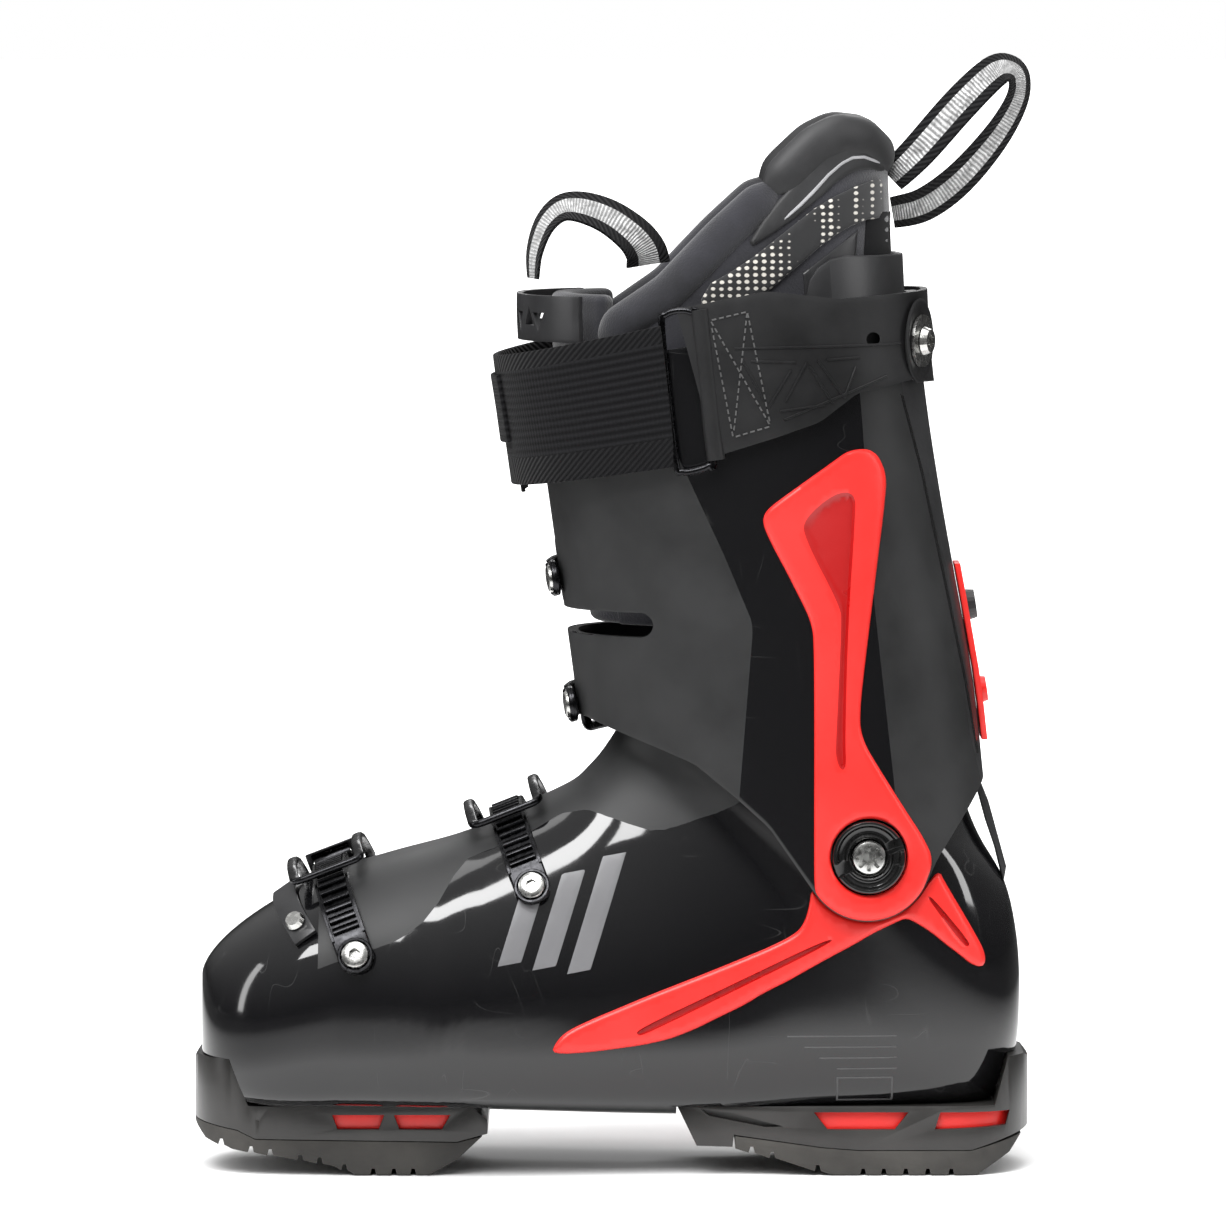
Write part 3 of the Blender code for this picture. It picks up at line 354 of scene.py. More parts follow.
# A grid laid on rows and columns of points in millimetres. Closed rows meet themselves
def gridPiece(name, points, closed=False, capped=False, paintOf=None, size=None):
    points = np.asarray(points, float)
    if closed:
        points = np.concatenate([points, points[:, :1]], axis=1)
    rows, columns = points.shape[0] - 1, points.shape[1] - 1
    bpy.ops.mesh.primitive_grid_add(x_subdivisions=columns, y_subdivisions=rows, size=1)
    piece = bpy.context.object
    piece.name = piece.data.name = name
    mesh = piece.data
    flat = np.zeros(len(mesh.vertices) * 3)
    mesh.vertices.foreach_get("co", flat)
    flat = flat.reshape(-1, 3)
    i = np.rint((flat[:, 0] + 0.5) * columns).astype(int)
    j = np.rint((flat[:, 1] + 0.5) * rows).astype(int)
    if paintOf is not None:
        for face in mesh.polygons:
            face.material_index = paintOf(int((face.center.x + 0.5) * columns),
                                          int((face.center.y + 0.5) * rows))
    if size is not None:
        layer = mesh.uv_layers.active.data
        uv = np.zeros(len(layer) * 2)
        layer.foreach_get("uv", uv)
        layer.foreach_set("uv", (uv.reshape(-1, 2) * np.array(size) * mm).ravel())
    mesh.vertices.foreach_set("co", (points[j, i] * mm).ravel())
    mesh.update()
    pick(piece)
    bpy.ops.object.mode_set(mode="EDIT")
    bpy.ops.mesh.select_all(action="SELECT")
    bpy.ops.mesh.remove_doubles(threshold=1e-6)
    if capped:
        bpy.ops.mesh.fill_holes(sides=0)
    bpy.ops.mesh.select_all(action="SELECT")
    bpy.ops.mesh.normals_make_consistent(inside=False)
    bpy.ops.object.mode_set(mode="OBJECT")
    return piece


# An outline in millimetres, side view for Y and plan for Z, extruded from low to high
def block(name, outline, low, high, axis="Y"):
    bpy.ops.mesh.primitive_circle_add(vertices=len(outline), radius=1, fill_type="NGON")
    piece = bpy.context.object
    piece.name = piece.data.name = name
    for vertex, (a, b) in zip(piece.data.vertices, outline):
        vertex.co = Vector((a, low, b) if axis == "Y" else (a, b, low)) * mm
    run = (0, (high - low) * mm, 0) if axis == "Y" else (0, 0, (high - low) * mm)
    pick(piece)
    bpy.ops.object.mode_set(mode="EDIT")
    bpy.ops.mesh.select_all(action="SELECT")
    bpy.ops.mesh.extrude_region_move(TRANSFORM_OT_translate={"value": run})
    bpy.ops.mesh.select_all(action="SELECT")
    bpy.ops.mesh.normals_make_consistent(inside=False)
    bpy.ops.object.mode_set(mode="OBJECT")
    return piece


def rod(name, start, end, radius, sides=32, endRadius=None):
    start, end = Vector(start), Vector(end)
    bpy.ops.mesh.primitive_cone_add(vertices=sides, radius1=radius * mm,
                                    radius2=(radius if endRadius is None else endRadius) * mm,
                                    depth=(end - start).length * mm)
    piece = bpy.context.object
    piece.name = piece.data.name = name
    turn = (end - start).to_track_quat("Z", "Y").to_matrix().to_4x4()
    piece.data.transform(Matrix.Translation((start + end) / 2 * mm) @ turn)
    return piece


def modify(piece, kind, **settings):
    pick(piece)
    step = piece.modifiers.new(kind.lower(), kind)
    for key, value in settings.items():
        setattr(step, key, value)
    bpy.ops.object.modifier_apply(modifier=step.name)
    return piece


def cut(piece, cutter, operation="DIFFERENCE"):
    modify(piece, "BOOLEAN", operation=operation, object=cutter, solver="EXACT")
    bpy.data.objects.remove(cutter)
    return piece


def bevel(piece, width, segments=3, angle=35):
    return modify(piece, "BEVEL", width=width * mm, segments=segments, limit_method="ANGLE",
                  angle_limit=math.radians(angle), harden_normals=False)


def wall(piece, thickness, offset=-1.0):
    return modify(piece, "SOLIDIFY", thickness=thickness * mm, offset=offset, use_even_offset=True)


# The same piece on the outer side of the foot
def mirrored(piece, name):
    twin = piece.copy()
    twin.data = piece.data.copy()
    bpy.context.scene.collection.objects.link(twin)
    twin.name = twin.data.name = name
    twin.data.transform(Matrix.Scale(-1, 4, (0, 1, 0)))
    twin.data.flip_normals()
    return twin


def joined(name, pieces):
    pick(pieces[0])
    for piece in pieces:
        piece.select_set(True)
    bpy.ops.object.join()
    bpy.context.object.name = bpy.context.object.data.name = name
    return bpy.context.object


# Gives a finished piece its finish and its body, shades it smooth and hides the parts that it stands for
def done(piece, body, paints, replaces=(), smooth=32):
    for paintName in ([paints] if isinstance(paints, str) else paints):
        piece.data.materials.append(finishes[paintName])
    pick(piece)
    bpy.ops.object.shade_smooth_by_angle(angle=math.radians(smooth))
    if body:
        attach(piece, body)
    if replaces:
        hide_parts(*replaces)
    return piece


def catmull(rows, steps):
    rows = np.array([[n for cell in row for n in (cell if isinstance(cell, tuple) else (cell,))]
                     for row in rows], float)
    read = []
    for i in range(len(rows) - 1):
        p0, p1, p2, p3 = rows[max(i - 1, 0)], rows[i], rows[i + 1], rows[min(i + 2, len(rows) - 1)]
        for t in np.arange(steps) / steps:
            read.append(0.5 * (2 * p1 + (p2 - p0) * t + (2 * p0 - 5 * p1 + 4 * p2 - p3) * t ** 2
                               + (3 * p1 - p0 - 3 * p2 + p3) * t ** 3))
    return np.array(read + [rows[-1]])


# instep point, sole or heel point, half width, place of the widest height, roundness of the two ends
footTable = [
    ((-100.0, 108.6), (-100.0, 24.0), 53.0, 0.62, 2.6, 5.0),
    ((-78.0, 115.0), (-78.0, 24.0), 56.0, 0.64, 2.5, 5.0),
    ((-52.0, 122.5), (-52.0, 23.5), 55.5, 0.66, 2.3, 5.0),
    ((-28.0, 134.0), (-24.0, 22.5), 52.5, 0.68, 2.2, 5.0),
    ((-14.0, 141.0), (8.0, 21.0), 48.5, 0.66, 2.2, 4.6), ((-8.0, 146.5), (42.0, 20.5), 45.5, 0.62, 2.2, 4.6),
    ((-4.0, 151.0), (76.0, 22.0), 43.5, 0.58, 2.2, 4.4), ((-0.5, 156.0), (110.0, 22.5), 42.5, 0.56, 2.2, 4.0),
    ((2.0, 160.0), (138.0, 24.0), 42.0, 0.54, 2.2, 2.8), ((3.5, 163.5), (147.5, 40.0), 42.0, 0.52, 2.2, 2.5),
    ((5.0, 167.0), (149.5, 62.0), 42.5, 0.50, 2.2, 2.4), ((6.5, 170.0), (148.5, 84.0), 43.0, 0.50, 2.2, 2.2),
    ((8.0, 174.0), (144.0, 104.0), 43.0, 0.50, 2.2, 2.1),
    ((9.5, 178.0), (134.5, 121.0), 43.0, 0.50, 2.2, 2.1),
    ((11.0, 182.0), (129.0, 135.0), 43.0, 0.50, 2.2, 2.1),
    ((12.5, 187.0), (125.5, 150.0), 43.0, 0.50, 2.2, 2.2),
    ((15.5, 198.0), (120.0, 192.0), 43.0, 0.50, 2.2, 2.2),
]
# the rounded toe ahead of the first section, in millimetres
nose = {"tip": -150.0, "tipTop": 70.0, "round": 2.5, "stations": 18}

# height, front, rear, half width
legTable = [
    (86.0, 10.0, 141.0, 50.0), (104.0, 4.0, 140.0, 50.5), (124.0, -3.0, 138.5, 51.0),
    (144.0, -8.0, 136.0, 51.5),
    (168.0, -12.2, 133.5, 52.0), (190.0, -15.2, 130.3, 53.0), (222.0, -19.6, 124.4, 55.5),
    (249.0, -23.4, 119.6, 58.0), (276.0, -27.2, 115.4, 60.0), (302.0, -30.7, 112.4, 61.0),
    (330.0, -30.0, 111.0, 60.0), (360.0, -20.0, 109.6, 57.0), (392.0, -6.0, 108.6, 54.0),
]
legRound = 2.5
turns = np.radians(np.linspace(0, 180, 721))
footDense = catmull(footTable, 24)
legDense = catmull(legTable, 8)


# Half of a section's outline, from its top or front round the outer side to its bottom or rear
def halfSection(row, inset=0.0):
    a, b = np.array([row[0], 0, row[1]]), np.array([row[2], 0, row[3]])
    length = np.linalg.norm(b - a)
    along = (b - a) / length
    upper = np.cos(turns) > 0
    power = np.where(upper, 2 / row[6], 2 / row[7])
    run = np.abs(np.cos(turns)) ** power * np.where(upper, inset - length * row[5], length * (1 - row[5])
                                                    - inset)
    side = np.sin(turns) ** power * (row[4] - inset)
    side[-1] = 0.0
    return a + (b - a) * row[5] + along * run[:, None] + np.array([0, 1, 0]) * side[:, None]


def noseRows(inset=0.0, degrees=np.linspace(1.5, 86, nose["stations"])):
    root = footDense[0]
    length = root[0] - nose["tip"] - inset
    rows = []
    for turn in np.radians(degrees):
        x = root[0] - length * math.cos(turn) ** (2 / nose["round"])
        share = math.sin(turn) ** (2 / nose["round"])
        top = nose["tipTop"] + (root[1] - nose["tipTop"]) * max(1 - (root[0] - x) / (root[0] - nose["tip"]),
                                                                0) ** 0.6
        low = root[3] + 16 * (1 - share) ** 1.5
        rows.append(np.array([x, top, x, low, inset + (root[4] - inset) * share, *root[5:8]]))
    return rows


# Points of a polyline spread evenly by length in each stretch of its own: counts holds (end index, number
# of steps) pairs
def evenly(points, counts):
    read, start = [points[:1]], 0
    for end, count in counts:
        stretch = points[start:end + 1]
        steps = np.linalg.norm(np.diff(stretch, axis=0), axis=1)
        run = np.concatenate([[0], np.cumsum(steps)])
        want = np.linspace(0, run[-1], count + 1)[1:]
        read.append(np.stack([np.interp(want, run, stretch[:, k]) for k in range(3)], axis=1))
        start = end
    return np.concatenate(read)


def fullRing(half):
    other = half[1:-1][::-1] * np.array([1, -1, 1])
    return np.concatenate([half, other])


def legAt(z):
    return [np.interp(z, legDense[:, 0], legDense[:, k]) for k in (1, 2, 3)]


# A point of the leg, share 0 at the front centre line, 0.5 at the rear one, on the outer side
def legPoint(z, share, out=0.0):
    front, rear, width = legAt(z)
    cos, sin = np.cos(turns), np.sin(turns)
    x = (front + rear) / 2 - np.sign(cos) * np.abs(cos) ** (2 / legRound) * ((rear - front) / 2 + out)
    y = np.abs(sin) ** (2 / legRound) * (width + out)
    y[-1] = 0.0
    run = np.concatenate([[0], np.cumsum(np.hypot(np.diff(x), np.diff(y)))])
    want = run[-1] * share * 2
    return np.array([np.interp(want, run, x), np.interp(want, run, y), z])


# Where round the leg a side-view place is
def legShare(z, x):
    front, rear, width = legAt(z)
    cos, sin = np.cos(turns), np.sin(turns)
    across = (front + rear) / 2 - np.sign(cos) * np.abs(cos) ** (2 / legRound) * (rear - front) / 2
    y = np.abs(sin) ** (2 / legRound) * width
    run = np.concatenate([[0], np.cumsum(np.hypot(np.diff(across), np.diff(y)))])
    return np.interp(x, across, run / run[-1]) / 2


def legSide(x, z, out=0.0):
    front, rear, width = legAt(z)
    reach = min(abs(x - (front + rear) / 2) / ((rear - front) / 2 + out), 0.9999)
    return (width + out) * (1 - reach ** legRound) ** (1 / legRound)


# Half width of the foot at a side-view place
def footSide(x, z, out=0.0):
    a, b = footDense[:, 0:2], footDense[:, 2:4]
    turn = (b[:, 0] - a[:, 0]) * (z - a[:, 1]) - (b[:, 1] - a[:, 1]) * (x - a[:, 0])
    k = np.nonzero(np.sign(turn[1:]) != np.sign(turn[:-1]))[0]
    k = int(k[0]) if len(k) else 0
    share = turn[k] / (turn[k] - turn[k + 1])
    row = footDense[k] + (footDense[k + 1] - footDense[k]) * share
    a, b = row[0:2], row[2:4]
    length = np.linalg.norm(b - a)
    run = np.dot(np.array([x, z]) - a, (b - a) / length) - length * row[5]
    reach = (length * row[5] if run < 0 else length * (1 - row[5])) + out
    power = row[6] if run < 0 else row[7]
    return (row[4] + out) * (1 - min(abs(run) / reach, 0.9999) ** power) ** (1 / power)


def line(points, x):
    points = np.array(points, float)
    return np.interp(x, points[:, 0], points[:, 1])


# The X of a side-view line at a height, for a line listed from the top down
def lineAcross(points, z):
    points = np.array(points, float)[::-1]
    return np.interp(z, points[:, 1], points[:, 0])


# lower shell, in millimetres
shellShape = {
    "matteEdge": [(-111.5, 75.0), (-94.3, 81.2), (-77.5, 87.4), (-70.9, 91.4), (-64.7, 96.9),
                  (-56.3, 110.8), (-51.6, 115.6), (-33.3, 122.1), (-18.7, 130.9), (-8.8, 132.7),
                  (13.5, 125.8), (19.7, 126.2), (36.6, 131.7), (45.7, 136.0), (60.0, 145.0),
                  (90.0, 158.0), (140.0, 166.0)],
    "matteStart": -111.0, "topSteps": 30, "lowSteps": 46, "wall": 4.5,
    "keep": [(-162.5, 42.85), (-138.5, 42.85), (-131.5, 25.35), (-44.4, 25.35), (-44.4, 15.0),
             (23.5, 15.0), (23.6, 25.35), (139.0, 25.35), (144.0, 42.85), (162.5, 42.85), (162.5, 172.0),
             (145.0, 172.0), (110.0, 183.0), (70.0, 182.0), (45.0, 174.0), (20.0, 166.0), (-0.5, 162.0),
             (-162.5, 162.0)],
}


def shellRings():
    rows = noseRows() + list(catmull(footTable, 5))
    halves = [halfSection(row) for row in rows]
    splits = []
    for row, half in zip(rows, halves):
        below = np.nonzero(half[:, 2] < line(shellShape["matteEdge"], half[:, 0]))[0]
        splits.append(int(below[0]) if len(below) and half[0, 0] > shellShape["matteStart"] else None)
    first = next(k for k, s in enumerate(splits) if s)
    splits = [splits[first] if s is None and k < first else s for k, s in enumerate(splits)]
    last = max(k for k, s in enumerate(splits) if s)
    splits = [splits[last] if k > last else s for k, s in enumerate(splits)]
    top, low = shellShape["topSteps"], shellShape["lowSteps"]
    rings = [fullRing(evenly(half, [(min(max(s, 60), 660), top), (720, low)])) for half,
             s in zip(halves, splits)]
    return rings, first


rings, matteFrom = shellRings()
half = shellShape["topSteps"]
ringCount = len(rings[0])
shell = gridPiece("shellSkin", rings, True, True,
                  lambda i, j: 1 if j >= matteFrom and (i < half or i >= ringCount - half) else 0)
cavity = gridPiece("shellCavity", [fullRing(evenly(halfSection(row, shellShape["wall"]), [(720, 36)]))
                                   for row in noseRows(shellShape["wall"])[::3]
                                   + list(catmull(footTable, 2))],
                   True, True)
cut(cavity, block("shellFloor", [(-170, 31), (170, 31), (170, 230), (-170, 230)], -90, 90), "INTERSECT")
cut(shell, cavity)
cut(shell, block("shellKeep", shellShape["keep"], -90, 90), "INTERSECT")
done(shell, "shell", ["gloss", "matte"], ["lower_shell"], 40)
print("lower shell done")


# cuff, in millimetres in the side view: hem, pivot boss, front slot and zones
cuffShape = {
    "hem": [(-60.0, 166.0), (-9.0, 166.0), (14.6, 157.3), (30.0, 151.0), (45.7, 138.2), (57.0, 128.0)],
    "boss": (92.9, 117.4, 23.5, 212.0, 330.0),
    "hemRear": [(118.0, 116.0), (136.0, 143.0), (175.0, 143.0)],
    "top": [(-60.0, 296.0), (0.0, 297.0), (60.0, 308.0), (111.0, 320.0), (175.0, 322.0)],
    "matteEdge": [(4.0, 320.0), (10.0, 292.0), (28.2, 253.4), (40.6, 226.7), (50.5, 203.0), (50.8, 198.6),
                  (48.6, 170.4), (46.1, 138.6), (45.0, 90.0)],
    "glossEdge": [(87.0, 325.0), (88.0, 300.0), (90.3, 272.8), (94.7, 208.8), (102.0, 144.4),
                  (105.0, 110.0), (106.0, 90.0)],
    "seam": [(100.0, 325.0), (103.0, 300.0), (107.1, 272.8), (121.4, 221.6), (126.9, 185.0),
             (130.2, 160.5), (134.5, 143.0), (137.0, 90.0)],
    "columns": (26, 24, 18, 9), "rows": 78, "wall": 4.0,
}


def hemLine():
    x, z, radius, start, end = cuffShape["boss"]
    boss = [(x + radius * math.cos(math.radians(a)), z + radius * math.sin(math.radians(a)))
            for a in np.linspace(start, end, 25)]
    return cuffShape["hem"] + boss + cuffShape["hemRear"]


# Rows of points on the leg between two lines. columns are functions giving the share round the leg at a
# height, and low and high give the height at an X
def legPatch(columns, low, high, rows, out=0.0):
    table = []
    for column in columns:
        ends = []
        for edge in (low, high):
            z = 200.0
            for _ in range(25):
                z += (edge(legPoint(z, column(z), out)[0]) - z) * 0.6
            ends.append(z)
        heights = np.linspace(ends[0], ends[1], rows + 1)
        table.append([legPoint(z, column(z), out) for z in heights])
    return np.array(table).transpose(1, 0, 2)


# Columns that run evenly between side-view lines, from the front centre line to the rear one
def zoneColumns(edges, counts):
    shares = [lambda z: 0.0] + [lambda z, e=edge: legShare(z, lineAcross(e, z)) for edge in edges]
    shares.append(lambda z: 0.5)
    columns = []
    for a, b, count in zip(shares, shares[1:], counts):
        columns += [lambda z, a=a, b=b, t=k / count: a(z) + (b(z) - a(z)) * t for k in range(count)]
    return columns + [lambda z: 0.5]


# The outer half of a patch and its reflection, as closed rings
def bothSides(patch):
    return np.concatenate([patch, patch[:, 1:-1][:, ::-1] * np.array([1, -1, 1])], axis=1)


hem = hemLine()
halfPatch = legPatch(zoneColumns([cuffShape["matteEdge"], cuffShape["glossEdge"], cuffShape["seam"]],
                                 cuffShape["columns"]),
                     lambda x: line(hem, x), lambda x: line(cuffShape["top"], x), cuffShape["rows"])
zoneEnds = np.cumsum(cuffShape["columns"])


def cuffZone(i, j):
    i = min(i, 2 * zoneEnds[-1] - 1 - i)
    return (1, 0, 1, 2)[int(np.searchsorted(zoneEnds, i, side="right"))]


cuff = gridPiece("cuffSkin", bothSides(halfPatch), True, False, cuffZone)
wall(cuff, cuffShape["wall"])
slotArc = [(10.5 + 4.5 * math.cos(a), 201 + 4.5 * math.sin(a))
           for a in np.linspace(-math.pi / 2, math.pi / 2, 13)]
cut(cuff, block("frontSlot", [(-60, 205.5), (-60, 196.5)] + slotArc, -80, 80))
cut(cuff, rod("discHole", (92.9, -80, 117.4), (92.9, 80, 117.4), 13.8, 64))
bevel(cuff, 0.9, 3, 50)
done(cuff, "cuff", ["gloss", "matte", "spine"], ["cuff"], 40)
print("cuff done")


def chaikin(points, rounds=2):
    points = np.array(points, float)
    for _ in range(rounds):
        after = np.roll(points, -1, axis=0)
        points = np.stack([points * 0.75 + after * 0.25, points * 0.25 + after * 0.75], axis=1).reshape(-1, 2)
    return points


def loopEvenly(points, step):
    points = np.array(points, float)
    closed = np.vstack([points, points[:1]])
    run = np.concatenate([[0], np.cumsum(np.linalg.norm(np.diff(closed, axis=0), axis=1))])
    want = np.linspace(0, run[-1], max(int(run[-1] / step), 8), endpoint=False)
    return np.stack([np.interp(want, run, closed[:, k]) for k in range(2)], axis=1)


def within(points, loop):
    inside = np.zeros(len(points), bool)
    for (x1, z1), (x2, z2) in zip(loop, np.roll(loop, -1, axis=0)):
        if z1 != z2:
            crosses = (z1 > points[:, 1]) != (z2 > points[:, 1])
            inside ^= crosses & (points[:, 0] < (x2 - x1) * (points[:, 1] - z1) / (z2 - z1) + x1)
    return inside


def gapTo(points, loop):
    best = np.full(len(points), 1e9)
    for a, b in zip(loop, np.roll(loop, -1, axis=0)):
        way = b - a
        share = np.clip(((points - a) @ way) / max(way @ way, 1e-9), 0, 1)
        best = np.minimum(best, np.linalg.norm(points - a - share[:, None] * way, axis=1))
    return best


def shrunk(loop, amount):
    before, after = np.roll(loop, 1, axis=0), np.roll(loop, -1, axis=0)
    way = after - before
    way /= np.maximum(np.linalg.norm(way, axis=1), 1e-9)[:, None]
    area = np.sum(loop[:, 0] * after[:, 1] - after[:, 0] * loop[:, 1])
    return loop + np.stack([-way[:, 1], way[:, 0]], axis=1) * amount * (1 if area > 0 else -1)


# A raised field on one side of the boot. Its edge rises over the given width, and each groove is (outline,
# depth, bank, paint index)
def panel(name, outline, side, height=1.0, edge=1.2, step=2.2, holes=(), grooves=(), thick=1.2, rounds=2):
    outer = loopEvenly(chaikin(outline, rounds), step * 0.6)
    holeLoops = [loopEvenly(hole, step * 0.6) for hole in holes]
    grooveLoops = [(loopEvenly(chaikin(g[0], 2), 0.9), *g[1:]) for g in grooves]
    loops = [outer, shrunk(outer, edge * 0.3), shrunk(outer, edge)]
    for hole in holeLoops:
        loops += [hole, shrunk(hole, -edge * 0.3), shrunk(hole, -edge)]
    for groove, _, bank, _ in grooveLoops:
        loops += [groove, shrunk(groove, bank)]
    verts, edges = [], []
    for loop in loops:
        start = len(verts)
        verts += [Vector(p) for p in loop]
        edges += [(start + k, start + (k + 1) % len(loop)) for k in range(len(loop))]
    low, high = outer.min(0), outer.max(0)
    grid = np.array([(x + (0.5 * step if k % 2 else 0), z)
                     for k, z in enumerate(np.arange(low[1], high[1], step * 0.87))
                     for x in np.arange(low[0], high[0], step)])
    grid = grid[within(grid, outer)]
    for loop in loops:
        grid = grid[gapTo(grid, loop) > step * 0.45]
    verts += [Vector(p) for p in grid]
    flat, _, faces = delaunay_2d_cdt(verts, edges, [], 0, 1e-5)[:3]
    flat = np.array([tuple(p) for p in flat])
    faces = [f for f in faces if len(f) >= 3]
    middles = np.array([flat[list(f)].mean(axis=0) for f in faces])
    keep = within(middles, outer)
    for hole in holeLoops:
        keep &= ~within(middles, hole)
    faces = [f for f, k in zip(faces, keep) if k]
    middles = middles[keep]
    rise = gapTo(flat, outer)
    for hole in holeLoops:
        rise = np.minimum(rise, gapTo(flat, hole))
    lift = height * np.sqrt(np.maximum(1 - (1 - np.minimum(rise / edge, 1)) ** 2, 0))
    paints = np.zeros(len(faces), int)
    for groove, depth, bank, index in grooveLoops:
        down = np.where(within(flat, groove), np.minimum(gapTo(flat, groove) / bank, 1), 0)
        lift -= depth * down * down * (3 - 2 * down)
        paints[within(middles, groove)] = index
    mesh = bpy.data.meshes.new(name)
    mesh.from_pydata([Vector((x, -(side(x, z) + h), z)) * mm for (x, z), h in zip(flat, lift)], [], faces)
    piece = bpy.data.objects.new(name, mesh)
    bpy.context.scene.collection.objects.link(piece)
    for face, index in zip(mesh.polygons, paints):
        face.material_index = int(index)
    return wall(piece, thick) if thick else piece


# red panels, outlines in the side view in millimetres
redShape = {
    "cuff": [(85.6, 264.8), (94.7, 264.8), (99.1, 256), (98.7, 247.2), (95.4, 220.9), (92.2, 194.6),
             (89.2, 168.2), (90.7, 159.4), (95.8, 150.7), (101.3, 141.9), (106.8, 133.1), (112.6, 124.3),
             (116.7, 115.6)],
    "cuffFront": [(73.1, 112.0), (73.1, 194.6), (71.7, 203.3), (67.3, 212.1), (62.9, 220.9),
                  (58.1, 229.7), (54.1, 238.4), (55.2, 242.8), (60.7, 247.2), (73.1, 256), (79.4, 260.4)],
    "shellRear": [(118.6, 111.6), (121, 106.8), (126.2, 98), (131.3, 89.2), (136, 80.5), (135.7, 75.3),
                  (131.3, 76.1), (126.2, 80.5), (120.7, 84.8), (115.6, 89.2), (108.6, 93.6),
                  (106.4, 94.2), (104.6, 93.6), (95.1, 89.2), (87.8, 84.8), (79.7, 80.5), (71.7, 76.1),
                  (64, 71.7), (54.9, 67.3), (47.9, 62.9), (38.4, 58.5), (29.6, 54.1), (17.2, 49.7),
                  (-7, 46.6), (-21.6, 46.1), (-20.5, 49.7), (-16.8, 54.1), (-7.3, 58.5), (3.7, 62.9),
                  (14.6, 67.3), (26.3, 71.7), (37.7, 76.1), (48.6, 80.5), (58.9, 84.8), (67.3, 89.2),
                  (70.2, 93.6), (71.6, 99), (72.3, 104.4)],
    "recess": [(87.7, 249.4), (80.2, 249.4), (69.1, 240.0), (69.1, 233.6), (82.1, 208.6), (82.9, 202.7),
               (81.0, 160.7), (80.8, 154.0), (82.6, 149.0), (84.7, 149.4), (84.2, 160.7), (85.2, 202.7),
               (87.6, 240.0)],
    "frontGroove": [(8.8, 54.6), (42.9, 70.3), (78.5, 87.4), (81.0, 86.2), (45.2, 68.7), (12.0, 52.8),
                    (9.4, 52.6)],
    "rearGroove": [(114.0, 101.9), (115.6, 102.6), (130.4, 84.6), (129.4, 83.0), (127.6, 84.1)],
    "height": 1.7, "edge": 1.6,
}


def bossArc(radius, start, end, count):
    x, z = cuffShape["boss"][:2]
    return [(x + radius * math.cos(math.radians(a)), z + radius * math.sin(math.radians(a)))
            for a in np.linspace(start, end, count)]


# the grooves take the second paint, a darker red that paints shade into them
redCuff = panel("redPanelCuff", redShape["cuff"] + bossArc(23.2, 331, 213, 22) + redShape["cuffFront"],
                legSide, redShape["height"], redShape["edge"],
                holes=[bossArc(13.9, 0, 351, 40)],
                grooves=[(redShape["recess"], 1.15, 1.0, 1)])
redShell = panel("redPanelShell", redShape["shellRear"] + bossArc(23.9, 214, 331, 22), footSide,
                 redShape["height"], redShape["edge"],
                 grooves=[(redShape["frontGroove"], 1.15, 0.6, 1), (redShape["rearGroove"], 1.15, 0.5, 1)])
for piece, body, twinName in ((redCuff, "cuff", "redPanelCuffOuter"),
                              (redShell, "shell", "redPanelShellOuter")):
    twin = mirrored(piece, twinName)
    done(piece, body, ["red", "recessShadeRed"], smooth=50)
    done(twin, body, ["red", "recessShadeRed"], smooth=50)

# plain bars, rules, blank frame and the seam along the spine, in millimetres
marks = {
    "bars": [(-41.0, 78.0, 106.0), (-28.5, 76.5, 112.0), (-16.0, 75.0, 118.0)], "barWidth": 8.5,
    "barLean": 0.3,
    "rules": [(63.6, 51.2), (69.8, 47.2), (75.3, 43.2), (81.6, 39.2)], "rulesEnd": 103.5, "ruleWidth": 0.55,
    "frame": [(81.6, 27.0), (102.2, 27.0), (102.2, 36.4), (81.6, 36.4)],
    "frameHole": [(82.3, 27.7), (101.5, 27.7), (101.5, 35.7), (82.3, 35.7)],
    "seam": [(104.2, 284.0), (112.0, 255.0), (120.6, 215.0), (128.4, 178.0), (133.0, 152.0)],
    "seamWidth": 1.1,
}
bars = []
for k, (left, low, high) in enumerate(marks["bars"]):
    lean = (high - low) * marks["barLean"]
    right = left + marks["barWidth"]
    bars.append(panel("bar%d" % k, [(left, low), (right, low + 1.5), (right + lean, high),
                                    (left + lean, high - 1.5)],
                      footSide, 0.1, 0.15, 2.0, thick=0.4, rounds=0))
done(joined("sideBars", bars), "shell", "bar")

rules = []
for start, height in marks["rules"]:
    end, top = marks["rulesEnd"], height + marks["ruleWidth"]
    rules.append(panel("rule", [(start, height), (end, height), (end, top), (start, top)],
                       footSide, 0.08, 0.1, 1.2, thick=0.3, rounds=0))
rules.append(panel("ruleFrame", marks["frame"], footSide, 0.12, 0.15, 1.2, thick=0.3, rounds=0,
                   holes=[marks["frameHole"]]))
done(joined("sideRules", rules), "shell", "rule")
seamBack = [(x + marks["seamWidth"], z) for x, z in marks["seam"][::-1]]
seam = panel("spineSeam", marks["seam"] + seamBack, legSide, 0.12, 0.2, 1.6, thick=0.4,
             rounds=0)
seamTwin = mirrored(seam, "spineSeamOuter")
for piece in (seam, seamTwin):
    done(piece, "cuff", "trimGloss", smooth=50)
print("panels done")


def bodyOf(part):
    return frame["nodes"][part]["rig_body"]


# A closed ring or knob spun round an axis: profile holds (radius, run along the axis)
def lathe(name, profile, centre, axis=(0, -1, 0), columns=64):
    turn = Vector(axis).to_track_quat("Z", "Y").to_matrix()
    rows = [[Vector(centre) + turn @ Vector((r * math.cos(a), r * math.sin(a), run))
             for a in np.linspace(0, math.tau, columns, endpoint=False)] for r, run in profile]
    return gridPiece(name, rows, True, True)


